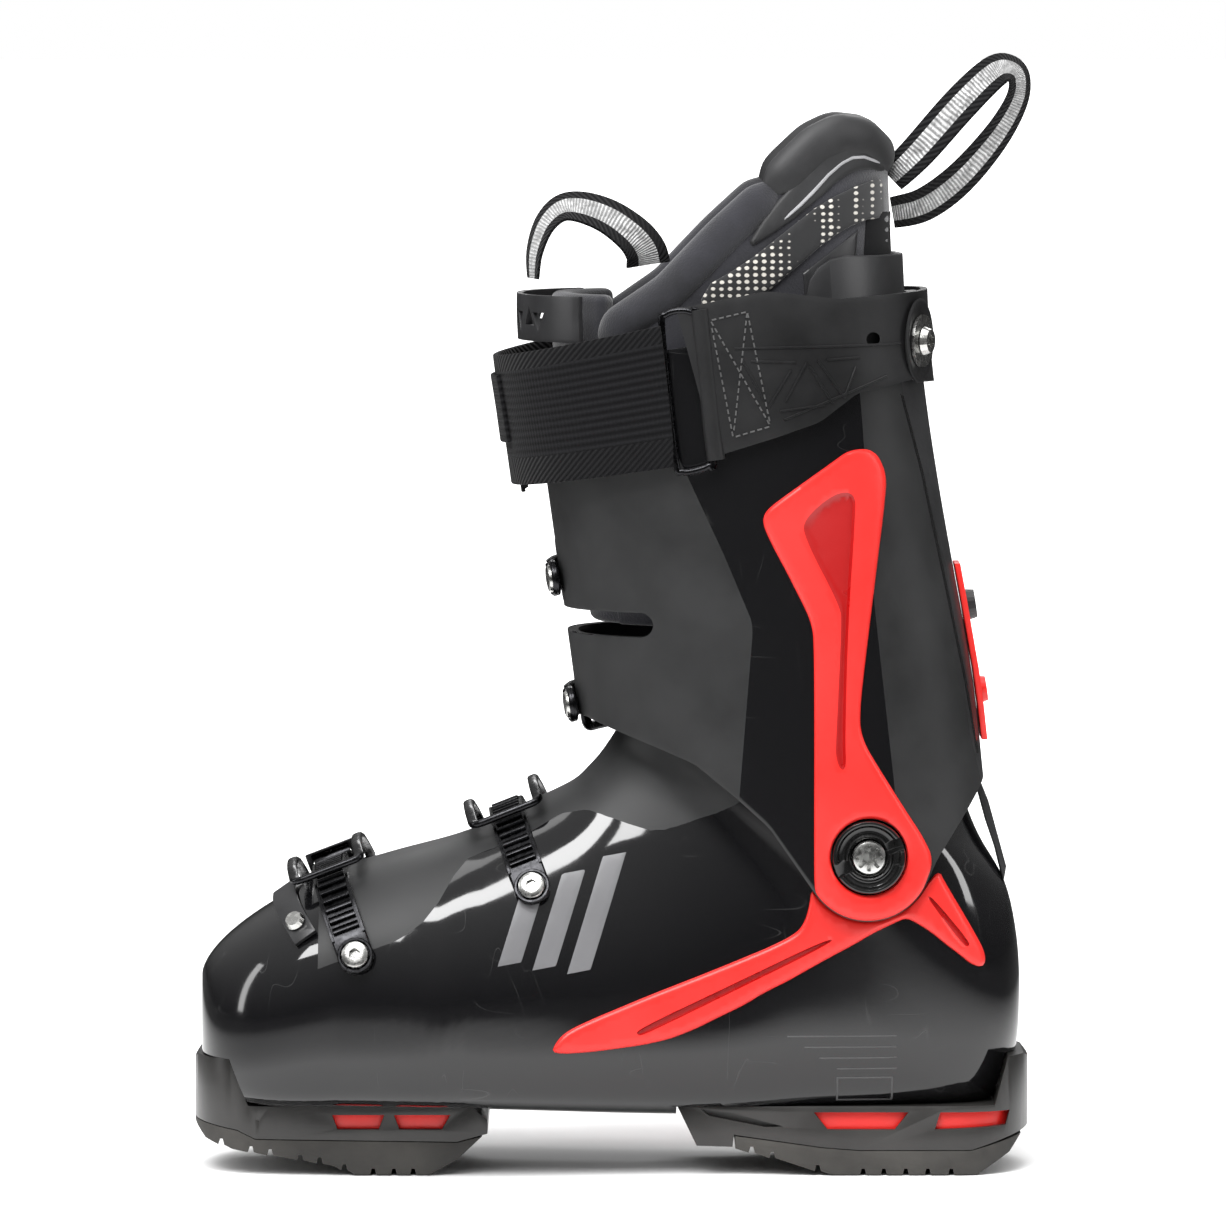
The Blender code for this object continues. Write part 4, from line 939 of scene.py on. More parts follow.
# pivot ring and bolt as (radius, run) profiles in millimetres
pivot = {
    "x": 92.9, "z": 117.4,
    "ring": [(6.5, 45.8), (13.2, 45.8), (13.2, 51.7), (12.9, 52.4), (12.3, 52.6), (11.7, 52.4),
             (11.3, 51.6), (10.8, 50.5), (9.6, 50.1), (8.9, 50.2), (8.5, 50.9), (8.2, 51.6), (7.8, 51.7),
             (7.4, 51.4), (7.1, 50.2), (6.5, 50.0), (6.5, 45.8)],
    "bolt": [(0.01, 46.0), (4.0, 46.0), (4.0, 50.6), (6.1, 50.6), (6.1, 52.3), (5.7, 52.9), (5.0, 53.2),
             (0.01, 53.2)],
    "slotTurn": -24,
}
for side, sign in (("inner", -1), ("outer", 1)):
    ring = lathe("pivotRing_" + side, pivot["ring"], (pivot["x"], 0, pivot["z"]), (0, sign, 0))
    slotBox = block("slotBox", [(-15, -2.3), (15, -2.3), (15, 2.3), (-15, 2.3)], 49.0, 60.0)
    slotBox.data.transform(Matrix.Rotation(math.radians(pivot["slotTurn"]), 4, "Y"))
    slotBox.data.transform(Matrix.Translation((pivot["x"] * mm, 0, pivot["z"] * mm)))
    if sign < 0:
        slotBox.data.transform(Matrix.Translation((0, -109 * mm, 0)))
    cut(ring, slotBox)
    bevel(ring, 0.25, 2, 40)
    done(ring, bodyOf("cant_disc_" + side), "trimGloss", ["cant_disc_" + side], 40)
    bolt = lathe("pivotBolt_" + side, pivot["bolt"], (pivot["x"], 0, pivot["z"]), (0, sign, 0), 48)
    cut(bolt, rod("hex", (pivot["x"], sign * 51.0, pivot["z"]), (pivot["x"], sign * 60, pivot["z"]), 2.5, 6))
    for a in np.linspace(0, math.tau, 8, endpoint=False):
        spot = Vector((pivot["x"] + 4.2 * math.cos(a), sign * 53.4, pivot["z"] + 4.2 * math.sin(a)))
        cut(bolt, rod("dimple", spot + Vector((0, sign, 0)), spot - Vector((0, sign * 1.2, 0)), 0.9, 12, 0.4))
    done(bolt, bodyOf("pivot_bolt_" + side), "steel", ["pivot_bolt_" + side], 30)
print("pivot done")


# As legPoint, with shares past 0.5 coming back to the front along the inner side
def legSpot(z, share, out=0.0):
    share %= 1.0
    if share <= 0.5:
        return legPoint(z, share, out)
    return legPoint(z, 1 - share, out) * np.array([1, -1, 1])


# Rows of points for a strap whose columns run round the leg. out may depend on the share
def wrapBand(columns, low, high, rows, out):
    table = []
    for column in columns:
        ends = []
        for edge in (low, high):
            z = 280.0
            for _ in range(25):
                share = column(z)
                z += (edge(legSpot(z, share, out(share))[0]) - z) * 0.6
            ends.append(z)
        heights = np.linspace(ends[0], ends[1], rows + 1)
        table.append([legSpot(z, column(z), out(column(z))) for z in heights])
    return np.array(table).transpose(1, 0, 2)


# power strap in millimetres: edges in the side view, then its hardware and stitching
strap = {
    "rubberFront": [(23.5, 316.0), (38.0, 262.0)],
    "rubberTop": [(23.8, 315.6), (55.2, 321.8), (80.8, 318.9), (113.4, 321.1)],
    "rubberLow": [(30.0, 262.5), (37.3, 262.9), (58.5, 269.5), (74.2, 275.0), (87.4, 285.2),
                  (107.5, 289.3), (115.6, 287.1)],
    "webTop": [(-42.0, 297.0), (-20.0, 301.5), (18.3, 309.7), (30.0, 311.0)],
    "webLow": [(-42.0, 249.0), (-20.0, 252.5), (24.1, 259.3), (34.0, 261.0)],
    "webEnd": [(18.5, 311.0), (24.5, 258.0)], "standOff": 9.0,
    "hole": (94.0, 304.3), "holeRadius": 2.5,
    "fold": [(31.5, -63.4, 315.4), (33.2, -63.0, 300), (36.2, -62.0, 272), (37.6, -61.8, 261.5)],
    "foldRadius": 3.3,
    "stitches": [[(35.4, 311.5), (48.6, 314.6), (57.0, 273.6), (43.6, 269.6), (35.4, 311.5)],
                 [(35.4, 311.5), (57.0, 273.6)], [(48.6, 314.6), (43.6, 269.6)]],
    "ring": [(20.3, -61.9, 285), (18.0, -62.4, 310), (19.5, -62.6, 313.6), (24, -63.2, 315),
             (28.5, -63.8, 314.4), (30.8, -64.0, 311), (36.2, -62.7, 263), (35.0, -62.5, 259.5),
             (30, -62.0, 257.6), (25.5, -61.6, 257.2), (23.2, -61.5, 260), (20.3, -61.9, 285)],
    "pad": [(0.01, 3.2), (11.0, 3.2), (12.6, 4.0), (12.8, 4.6), (12.2, 4.95), (11.4, 5.0), (10.4, 4.7),
            (0.01, 4.6)],
    "washerOut": 5.6, "padStretch": 1.2,
    "emboss": [[(47.0, 297.0), (56.0, 280.0), (66.0, 296.5), (47.0, 297.0)],
               [(60.5, 279.0), (79.5, 281.5), (70.0, 296.5), (60.5, 279.0)],
               [(74.0, 297.0), (83.5, 283.5), (89.0, 298.0), (74.0, 297.0)],
               [(44.0, 301.5), (104.0, 302.5)], [(62.0, 276.0), (100.0, 291.5)]],
}


def webOut(share):
    return 2.0 + strap["standOff"] * max(math.cos(math.tau * share), 0) ** 2


count = 90
innerEnd = lambda z: 1 - legShare(z, lineAcross(strap["rubberFront"], z))
outerEnd = lambda z: legShare(z, 26.0)
rubber = gridPiece("strapRubber", wrapBand(
    [lambda z, t=k / count: outerEnd(z) + (innerEnd(z) - outerEnd(z)) * t for k in range(count + 1)],
    lambda x: line(strap["rubberLow"], x), lambda x: line(strap["rubberTop"], x), 16, lambda s: 1.3))
wall(rubber, 2.5, 1.0)
holeX, holeZ = strap["hole"]
cut(rubber, rod("strapHole", (holeX, -90, holeZ), (holeX, 0, holeZ), strap["holeRadius"], 24))
bevel(rubber, 0.6, 3, 50)
done(rubber, "cuff", "strapRubber", ["strap_rear"], 40)

webInner = lambda z: 1 - legShare(z, lineAcross(strap["webEnd"], z))
webOuter = lambda z: legShare(z, 8.0) - 1
webColumns = [lambda z, t=k / count: webInner(z) + (webOuter(z) + 2 - webInner(z)) * t
              for k in range(count + 1)]
webbing = gridPiece("strapWebbing", wrapBand(webColumns, lambda x: line(strap["webLow"], x),
                                             lambda x: line(strap["webTop"], x), 24, webOut),
                    paintOf=lambda i, j: 1 if j < 5 or j >= 21 else 0, size=(190.0, 49.0))
wall(webbing, 2.0, 1.0)
bevel(webbing, 0.5, 2, 50)
done(webbing, "cuff", ["webbing", "twill"], ["strap_webbing"], 40)

flap = gridPiece("strapFlap", wrapBand(webColumns[38:62], lambda x: line(strap["webLow"], x) + 16,
                                       lambda x: line(strap["webTop"], x) - 7, 8, lambda s: webOut(s) + 2.2),
                 size=(60.0, 26.0))
wall(flap, 1.6, 1.0)
bevel(flap, 0.5, 2, 50)
done(flap, "cuff", "webbing")


# A round tube through points in millimetres
def sideTube(name, points, radius, sides=16):
    points = [Vector(p) for p in points]
    rows = []
    for k, point in enumerate(points):
        way = (points[min(k + 1, len(points) - 1)] - points[max(k - 1, 0)]).normalized()
        across = way.cross(Vector((0, 1, 0))).normalized()
        other = way.cross(across)
        size = radius[k] if isinstance(radius, (list, tuple)) else radius
        rows.append([point + (across * math.cos(a) + other * math.sin(a)) * size
                     for a in np.linspace(0, math.tau, sides, endpoint=False)])
    return gridPiece(name, rows, True, True)


# A smooth line through a few corners
def bend(corners, steps=8):
    return [tuple(p) for p in catmull([tuple(c) for c in corners], steps)]


fold = sideTube("strapFold", bend(strap["fold"]), strap["foldRadius"])
done(fold, "cuff", "strapRubber")


# Small thread ends along side-view lines, each a short rod of its own, joined into one piece
def stitches(name, paths, side, lift, length=1.7, gap=1.0, thick=0.32):
    made = []
    for path in paths:
        for (x0, z0), (x1, z1) in zip(path, path[1:]):
            run = math.hypot(x1 - x0, z1 - z0)
            for k in range(int(run / (length + gap))):
                share = (k + 0.5) * (length + gap) / run
                x, z = x0 + (x1 - x0) * share, z0 + (z1 - z0) * share
                dx, dz = (x1 - x0) / run * length / 2, (z1 - z0) / run * length / 2
                a = Vector((x - dx, -side(x - dx, z - dz) - lift, z - dz))
                b = Vector((x + dx, -side(x + dx, z + dz) - lift, z + dz))
                made.append(rod(name, a, b, thick, 6))
    return joined(name, made)


strapSide = lambda x, z: legSide(x, z, 3.9)
done(stitches("strapStitches", strap["stitches"], strapSide, 0.0), "cuff", "thread")

ringPath = bend(strap["ring"], 6)
done(sideTube("strapRingWire", ringPath, 1.25, 14), bodyOf("strap_ring"), "buckle",
     ["strap_ring"])

washer = frame["nodes"]["strap_washer"]
padAxis = (washer.matrix_world.to_3x3() @ max(washer.data.polygons, key=lambda f: f.area).normal).normalized()
padAxis = padAxis if padAxis.x > 0 else -padAxis
padSpot = (sum((washer.matrix_world @ Vector(c) for c in washer.bound_box), Vector()) / 8 / mm
           - padAxis * strap["washerOut"])
pad = lathe("strapPad", strap["pad"], padSpot, padAxis, 48)
padLift = Matrix.Translation((0, 0, padSpot.z * mm))
pad.data.transform(padLift @ Matrix.Diagonal((1, 1, strap["padStretch"], 1)) @ padLift.inverted())
done(pad, "cuff", "strapRubber")

done(stitches("strapEmboss", strap["emboss"], strapSide, -0.1, 4.0, 0.0, 0.45), "cuff",
     "strapRubber")
keeper = gridPiece("strapKeeper", wrapBand(webColumns[44:60], lambda x: line(strap["webLow"], x) - 3.4,
                                           lambda x: line(strap["webLow"], x) + 1.0, 4,
                                           lambda s: webOut(s) - 1.2),
                   size=(40.0, 5.0))
wall(keeper, 1.2, 1.0)
done(keeper, "cuff", "twill")
print("strap done")


# liner collar, in millimetres
liner = {
    "inset": 8.8, "thick": 7.0,
    "roll": [(-6.0, 300.0), (-1.1, 306.0), (20.8, 321.0), (39.1, 340.0), (54.9, 354.5), (64.0, 364.0),
             (73.1, 373.0), (81.2, 377.0), (90.3, 376.0), (99.5, 368.0), (110.0, 364.0)],
}
collarColumns = [lambda z, t=k / 60: 0.09 + (0.5 - 0.09) * t for k in range(61)]
collarHalf = legPatch(collarColumns, lambda x: 200.0, lambda x: line(liner["roll"], x), 60, -liner["inset"])
collarAll = np.concatenate([collarHalf, collarHalf[:, :-1][:, ::-1] * np.array([1, -1, 1])], axis=1)
collar = gridPiece("linerCollar", collarAll, size=(280.0, 170.0))
wall(collar, liner["thick"])
bevel(collar, 2.0, 3, 50)
done(collar, "cuff", "knit", ["liner_cuff"], 50)


# Lets the padding swell as cloth round its shape, by no more than cap millimetres
def softened(piece, cap=2.5, frames=12, pressure=4.0):
    rest = [v.co.copy() for v in piece.data.vertices]
    pick(piece)
    step = piece.modifiers.new("padding", "CLOTH")
    step.settings.use_pressure = True
    step.settings.uniform_pressure_force = pressure
    step.settings.effector_weights.gravity = 0
    step.settings.tension_stiffness = 12
    step.settings.bending_stiffness = 2
    step.point_cache.frame_start, step.point_cache.frame_end = 1, frames
    for f in range(1, frames + 1):
        bpy.context.scene.frame_set(f)
    bpy.ops.object.modifier_apply(modifier=step.name)
    bpy.context.scene.frame_set(1)
    for vertex, start in zip(piece.data.vertices, rest):
        move = vertex.co - start
        if move.length > cap * mm:
            vertex.co = start + move.normalized() * cap * mm
    return piece


# A soft tube with a flattened section, swollen as padding
def rollAlong(name, spots, radius, flat, body, paintName, sides=18):
    rows = []
    for k, spot in enumerate(spots):
        way = (spots[min(k + 1, len(spots) - 1)] - spots[max(k - 1, 0)]).normalized()
        outward = spot - Vector((45, 0, spot.z))
        outward = (outward - way * outward.dot(way)).normalized()
        up = way.cross(outward).normalized()
        end = min(k, len(spots) - 1 - k)
        size = radius * min(1.0, 0.35 + 0.3 * end)
        rows.append([spot + outward * math.cos(a) * size * flat + up * math.sin(a) * size
                     for a in np.linspace(0, math.tau, sides, endpoint=False)])
    piece = gridPiece(name, rows, True, True)
    softened(piece, 1.5)
    modify(piece, "SUBSURF", levels=1, render_levels=1)
    done(piece, body, paintName, smooth=60)
    return piece


innerXs = np.linspace(-4, 60, 26)
for side, sign in (("Inner", 1), ("Outer", -1)):
    spots = [Vector((x, -sign * (legSide(x, line(liner["roll"], x), -liner["inset"] - 3.0)),
                     line(liner["roll"], x)))
             for x in innerXs]
    rollAlong("frontRoll" + side, spots, 7.6, 0.8, "cuff", "knit")
topSpots = []
for t in np.linspace(0, 1, 60):
    share = 0.715 - t * 0.43
    z = 360.0
    for _ in range(25):
        z += (line(liner["roll"], legSpot(z, share, -liner["inset"] - 3.0)[0]) - z) * 0.6
    topSpots.append(Vector(legSpot(z, share, -liner["inset"] - 3.0)))
rollAlong("collarRoll", topSpots, 8.2, 0.72, "cuff", "foam")

linerSide = lambda x, z: legSide(x, z, -liner["inset"])
# name, outline, height, edge width, finish and corner rounding
linerPanels = [
    ("linerMeshBand", [(31.5, 322.0), (48.0, 331.5), (62.0, 342.5), (76.0, 353.5), (92.0, 360.5),
                       (99.0, 361.5), (99.0, 347.0), (90.0, 346.5), (78.0, 340.0), (66.0, 329.5),
                       (52.0, 318.0), (34.0, 308.0)],
     1.7, 0.8, "holes", 1),
    ("linerSmoothPanel", [(47.0, 335.5), (62.0, 344.5), (75.7, 355.4), (83.7, 362.8), (91.4, 365.3),
                          (100.5, 363.3), (101.0, 371.0), (90.0, 375.0), (80.0, 373.5), (70.0, 365.0),
                          (56.0, 350.0)],
     1.2, 1.4, "foam", 1),
    ("linerSatinQuad", [(68.8, 328.0), (88.9, 343.2), (86.2, 312.0), (70.0, 312.0)], 0.8, 0.8, "trim", 0),
    ("linerRearTab", [(92.0, 349.0), (101.7, 349.5), (101.7, 312.0), (89.5, 312.0)], 0.9, 0.8, "webbing", 0),
    ("linerReflexLine", [(62.0, 346.4), (70.6, 353.8), (81.2, 365.5), (88.9, 369.5), (98.0, 366.2),
                         (98.3, 367.4), (88.9, 370.9), (80.5, 366.6), (69.8, 355.2), (61.6, 347.6)],
     1.7, 0.4, "reflex", 1),
]
for name, outline, height, edge, paintName, rounds in linerPanels:
    piece = panel(name, outline, linerSide, height, edge, 1.6 if paintName == "reflex" else 2.2,
                  rounds=rounds)
    twin = mirrored(piece, name + "Outer")
    done(piece, "cuff", paintName, smooth=50)
    done(twin, "cuff", paintName, smooth=50)

tongueColumns = [lambda z, t=k / 30: 0.13 - 0.26 * t + (0 if t <= 0.5 else 1) for k in range(31)]
tongue = gridPiece("linerTongue", wrapBand(tongueColumns, lambda x: 200.0, lambda x: 320.0, 40,
                                           lambda s: -liner["inset"] - 0.4))
wall(tongue, 8.0)
bevel(tongue, 3.2, 4, 50)
done(tongue, "cuff", "knit", ["liner_tongue"], 60)
bracket = gridPiece("tongueBracket", wrapBand(tongueColumns, lambda x: 303.0, lambda x: 319.5, 12,
                                              lambda s: 1.0))
wall(bracket, 2.4, 1.0)
for share in (0.035, 0.075, 0.925, 0.965):
    for low, high in ((306.5, 316.5), (316.5, 306.5)):
        spots = [legSpot(311.0, (share + step) % 1.0, 0.0) for step in (-0.014, 0.014)]
        middle = legSpot(311.0, share + (0.008 if low < high else -0.008), 0.0)
        way = Vector((middle[0] - 45.0, middle[1], 0)).normalized()
        side = Vector((-way.y, way.x, 0))
        cutter = rod("bracketHole", Vector(middle) - way * 4, Vector(middle) + way * 9, 4.6, 3)
        turn = math.pi if low > high else 0.0
        cutter.data.transform(Matrix.Translation(Vector(middle) * mm)
                              @ Matrix.Rotation(turn, 4, way) @ Matrix.Translation(-Vector(middle) * mm))
        cut(bracket, cutter)
bevel(bracket, 0.7, 3, 40)
done(bracket, "cuff", "trim", ["tongue_bracket"], 40)
print("liner done")


# A woven pull loop with black edges and a silver middle. lean turns its face towards the side
def loopStrap(name, path, halfWidth, thick, lean, body, node):
    path = catmull([tuple(p) for p in path], 6)
    rows = []
    for k, (x, z) in enumerate(path):
        a, b = path[max(k - 1, 0)], path[min(k + 1, len(path) - 1)]
        way = np.array([b[0] - a[0], b[1] - a[1]])
        way /= np.linalg.norm(way)
        turn = math.radians(lean(k / (len(path) - 1)))
        across = np.array([-way[1] * math.sin(turn), math.cos(turn), way[0] * math.sin(turn)])
        rows.append([np.array([x, 0, z]) + across * halfWidth * t for t in np.linspace(-1, 1, 13)])
    run = float(np.sum(np.hypot(*np.diff(path, axis=0).T)))
    piece = gridPiece(name, rows, paintOf=lambda i, j: 0 if i < 3 or i > 8 else 1, size=(2 * halfWidth, run))
    wall(piece, thick, 0.0)
    return done(piece, body, ["twill", "silver"], [node], 50)


loopStrap("heelPullLoop", [(101.8, 361.0), (112.0, 371.0), (127.0, 388.0), (139.0, 399.5), (145.0, 401.0),
                           (148.5, 397.5), (147.5, 389.0), (140.0, 376.0), (127.0, 361.0), (114.0, 351.5),
                           (102.4, 348.5)], 9.0, 1.0, lambda t: 34 + 8 * math.sin(t * 9), "cuff", "heel_loop")
loopStrap("tonguePullLoop", [(-28.5, 324.5), (-28.0, 334.0), (-24.5, 344.0), (-18.5, 350.0),
                             (-11.0, 350.5), (-1.0, 347.0), (8.0, 340.5), (12.5, 334.5), (13.5, 329.5)],
          10.5, 1.0,
          lambda t: 10 + 38 * t, "cuff", "tongue_loop")
print("loops done")


def planOutline(front, rear, halfWidth, noseFront, noseRear):
    outline = []
    for sign, tip, length in ((-1, front, noseFront), (1, rear, noseRear)):
        if not length:
            outline += [(tip, sign * -halfWidth), (tip, sign * halfWidth)]
            continue
        for turn in np.radians(np.linspace(-90, 90, 31)):
            run = abs(math.cos(turn)) ** 0.8 * length
            side = math.copysign(abs(math.sin(turn)) ** 0.8, math.sin(turn)) * halfWidth
            outline.append((tip - sign * length + sign * run, side * sign))
    return outline


def grooved(points, spots, depth=2.2, width=2.2):
    path = []
    for (x0, z0), (x1, z1) in zip(points, points[1:]):
        path.append((x0, z0))
        for x in spots:
            if x0 + width < x < x1 - width:
                z = z0 + (z1 - z0) * (x - x0) / (x1 - x0)
                path += [(x - width / 2, z), (x - width / 4, z + depth), (x + width / 4, z + depth),
                         (x + width / 2, z)]
    return path + [points[-1]]


# sole blocks, treads and windows, in millimetres
sole = {
    "toePlan": planOutline(-152.5, -45.0, 34.5, 34.0, 0), "heelPlan": planOutline(24.0, 152.5, 34.5, 0, 30.0),
    "toeBlock": [(-152.5, 18.5), (-136.0, 16.0), (-129.5, 13.0), (-56.0, 12.0), (-45.0, 15.0),
                 (-45.0, 25.0), (-132.0, 25.0), (-139.0, 42.0), (-151.0, 42.0), (-152.5, 40.0)],
    "heelBlock": [(24.0, 25.0), (31.0, 10.6), (44.0, 10.2), (44.6, 14.6), (77.0, 10.0), (90.0, 9.0),
                  (131.0, 9.0), (149.5, 14.6), (152.5, 15.5), (152.5, 40.5), (150.5, 42.5), (144.4, 42.5),
                  (139.4, 25.0)],
    "toeTread": [(-152.5, 17.0), (-148.0, 12.0), (-138.0, 9.0), (-120.0, 6.5), (-101.0, 3.2),
                 (-93.0, 0.0), (-66.0, 0.0), (-56.0, 5.5), (-47.0, 14.0)],
    "toeTreadTop": [(-56.0, 11.7), (-129.4, 12.7), (-136.0, 15.7), (-152.5, 18.2)],
    "heelTread": [(45.0, 9.6), (64.0, 4.6), (70.0, 2.6), (80.0, 0.0), (133.0, 0.0), (145.0, 7.5),
                  (149.4, 13.5)],
    "heelTreadTop": [(131.0, 8.7), (90.0, 8.7), (77.0, 9.7), (45.0, 14.1)],
    "toeNotches": [-142.0, -131.0, -124.0, -113.0, -106.0, -97.0, -86.5, -79.0, -72.0],
    "heelNotches": [51.0, 58.5, 75.0, 91.5, 99.0, 107.0, 115.0, 123.5],
    "windows": {"toe": [[(-101.5, 21.8), (-82.5, 21.8), (-84.5, 16.6), (-99.5, 16.6)],
                        [(-79.0, 21.8), (-58.5, 21.8), (-61.5, 16.6), (-77.0, 16.6)]],
                "heel": [[(73.5, 22.8), (108.0, 22.8), (103.0, 16.5), (78.5, 16.5)],
                         [(119.5, 22.8), (145.0, 22.8), (143.5, 17.5), (117.5, 16.5)]]},
}


def profileBlock(name, plan, profile):
    return cut(block(name, plan, -5, 60, "Z"), block(name + "Cut", profile, -60, 60), "INTERSECT")


# Shallow recesses in both side faces of a sole block
def sideSlits(piece, outlines, depth):
    for outline in outlines:
        for low, high in ((-60, -34.5 + depth), (34.5 - depth, 60)):
            cut(piece, block("slit", outline, low, high))
    return piece


toeBlock = profileBlock("toeSoleBlock", sole["toePlan"], sole["toeBlock"])
heelBlock = profileBlock("heelSoleBlock", sole["heelPlan"], sole["heelBlock"])
for piece, end in ((toeBlock, "toe"), (heelBlock, "heel")):
    for outline in sole["windows"][end]:
        cut(piece, block("window", outline, -50, 50))
sideSlits(heelBlock, [[(32.5, 24.0), (44.0, 22.6), (62.5, 17.6), (56.0, 17.4), (35.5, 21.6)]], 3.0)
sideSlits(heelBlock, [[(121.0, 29.2), (130.0, 32.0), (144.0, 33.8), (170.0, 34.6), (170.0, 31.6),
                       (140.0, 29.8)]], 2.4)
sideSlits(toeBlock, [[(-152.5, 27.6), (-128.0, 20.4), (-128.0, 19.4), (-152.5, 25.4)]], 0.9)
cut(toeBlock, block("archSlope", [(-52.0, 26), (-44.0, 26), (-44.0, 19.0)], -60, 60))
for piece, part in ((toeBlock, "toe_sole_block"), (heelBlock, "heel_sole_block")):
    bevel(piece, 0.8, 3, 25)
    done(piece, "shell", "sole", [part], 40)
for end, plan in (("toe", "toePlan"), ("heel", "heelPlan")):
    low = grooved(sole[end + "Tread"], sole[end + "Notches"])
    tread = profileBlock(end + "Tread", sole[plan], low + sole[end + "TreadTop"])
    bevel(tread, 0.5, 2, 30)
    done(tread, "shell", "rubber", [end + "_tread"], 40)
    for k, outline in enumerate(sole["windows"][end]):
        xs = [p[0] for p in outline]
        inner = [(min(xs) - 1.0, 23.4), (max(xs) + 1.0, 23.4), (max(xs) + 1.0, 15.8), (min(xs) - 1.0, 15.8)]
        damper = block("%sDamper%d" % (end, k), inner, -40, 40)
        foot = 24.0 if end == "heel" else -45.0
        cut(damper, block("damperPlan", [(foot + (x - foot) * 0.982, y * 0.933) for x, y in sole[plan]], -5,
                          60, "Z"),
            "INTERSECT")
        bevel(damper, 0.5, 2, 30)
        done(damper, "shell", "red", ["%s_damper_%s" % (end, ("front", "rear")[k])])
print("sole done")


# A copy of a frame part with its loose triangles merged and its edges rounded
def softCopy(part, name, paintName, width=0.4, segments=2, smooth=35, moves=True):
    source = frame["nodes"][part]
    piece = bpy.data.objects.new(name, source.data.copy())
    bpy.context.scene.collection.objects.link(piece)
    piece.data.materials.clear()
    pick(piece)
    bpy.ops.object.mode_set(mode="EDIT")
    bpy.ops.mesh.select_all(action="SELECT")
    bpy.ops.mesh.remove_doubles(threshold=2e-6)
    bpy.ops.mesh.dissolve_limited(angle_limit=math.radians(1.2))
    bpy.ops.object.mode_set(mode="OBJECT")
    if width:
        bevel(piece, width, segments, 30)
    return done(piece, bodyOf(part) if moves else "", paintName, [part], smooth)


buckleNames = ("toe", "instep", "lower_cuff", "upper_cuff")
for name in buckleNames:
    softCopy("lever_" + name, "lever_%s_soft" % name, "buckle", 0.5)
    softCopy("buckle_base_" + name, "base_%s_soft" % name, "buckle", 0.3)
softCopy("spine_insert", "spineStrip", "red", 0.5)
softCopy("spine_tail", "spineTail", "trim",
         0.5).data.transform(Matrix.Translation((-0.0052, 0, 0)))
softCopy("spoiler", "rearSpoiler", "trim", 0.6)
softCopy("toe_bridge", "toeBridge", "trim", 0.5)
softCopy("boot_board", "bootBoard", "board", 0.6)
softCopy("footbed", "linerFootbed", "board", 0.8)
softCopy("liner_foot", "linerFoot", "knit", 0.0, smooth=70)
ankle = softCopy("liner_ankle", "linerAnkle", "knit", 0.0, smooth=70, moves=False)
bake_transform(ankle)
for part, paintName in (("strap_washer", "steel"), ("toe_bridge_screw", "steel"), ("strap_bolt", "steel"),
                        ("spine_bolt_upper", "trim"), ("spine_bolt_lower", "red"), ("strap_ring", "buckle")):
    plain = frame["nodes"][part]
    for k in range(max(len(plain.material_slots), 1)):
        if not plain.material_slots:
            plain.data.materials.append(finishes[paintName])
        plain.material_slots[k].link = "OBJECT"
        plain.material_slots[k].material = finishes[paintName]
for name in buckleNames:
    pin = frame["nodes"]["lever_pin_" + name]
    pin.material_slots[0].link = "OBJECT"
    pin.material_slots[0].material = finishes["steel"]


# where each buckle line runs: its middle in the side view, its lean, and degrees round the boot
buckles = {
    "toe": {"centre": (-86.0, 66.0), "lean": 21.0, "start": -73.0, "hook": -33.0, "hinge": 32.0},
    "instep": {"centre": (-19.0, 82.0), "lean": 21.5, "start": -59.0, "hook": -25.0, "hinge": 50.0},
    "lower_cuff": {"centre": (45.0, 178.0), "lean": 98.0, "start": -9.0, "hook": 30.0, "hinge": 62.0},
    "upper_cuff": {"centre": (45.0, 225.0), "lean": 98.0, "start": -9.0, "hook": 27.0, "hinge": 57.0},
}
# sizes that all four buckles share, in millimetres
hardware = {"reach": 12.0, "height": 5.8, "hookHeight": 7.0, "bailHalf": 12.6, "bailWide": 1.9,
            "bailTall": 1.35, "ladderHalf": 6.5,
            "gap": 1.8, "base": 1.6, "tooth": 1.5, "pitch": 4.4}


def coarseTree(rings):
    verts = [Vector(p) for ring in rings for p in ring]
    n = len(rings[0])
    faces = [(j * n + i, j * n + (i + 1) % n, (j + 1) * n + (i + 1) % n, (j + 1) * n + i)
             for j in range(len(rings) - 1) for i in range(n)]
    return BVHTree.FromPolygons(verts, faces)


coarseFoot = coarseTree([fullRing(halfSection(row)[::60]) for row in
                         noseRows(0.0, [8 + 82 * i / 6 for i in range(6)]) + list(catmull(footTable, 2))])


def legRow(z):
    front, rear, width = legAt(z)
    return np.array([front, z, rear, z, width, 0.5, legRound, legRound])


coarseLeg = coarseTree([fullRing(halfSection(legRow(z))[::60])
                        for z in [87, *[row[0] for row in legTable if 91 < row[0] < 326], 330]])


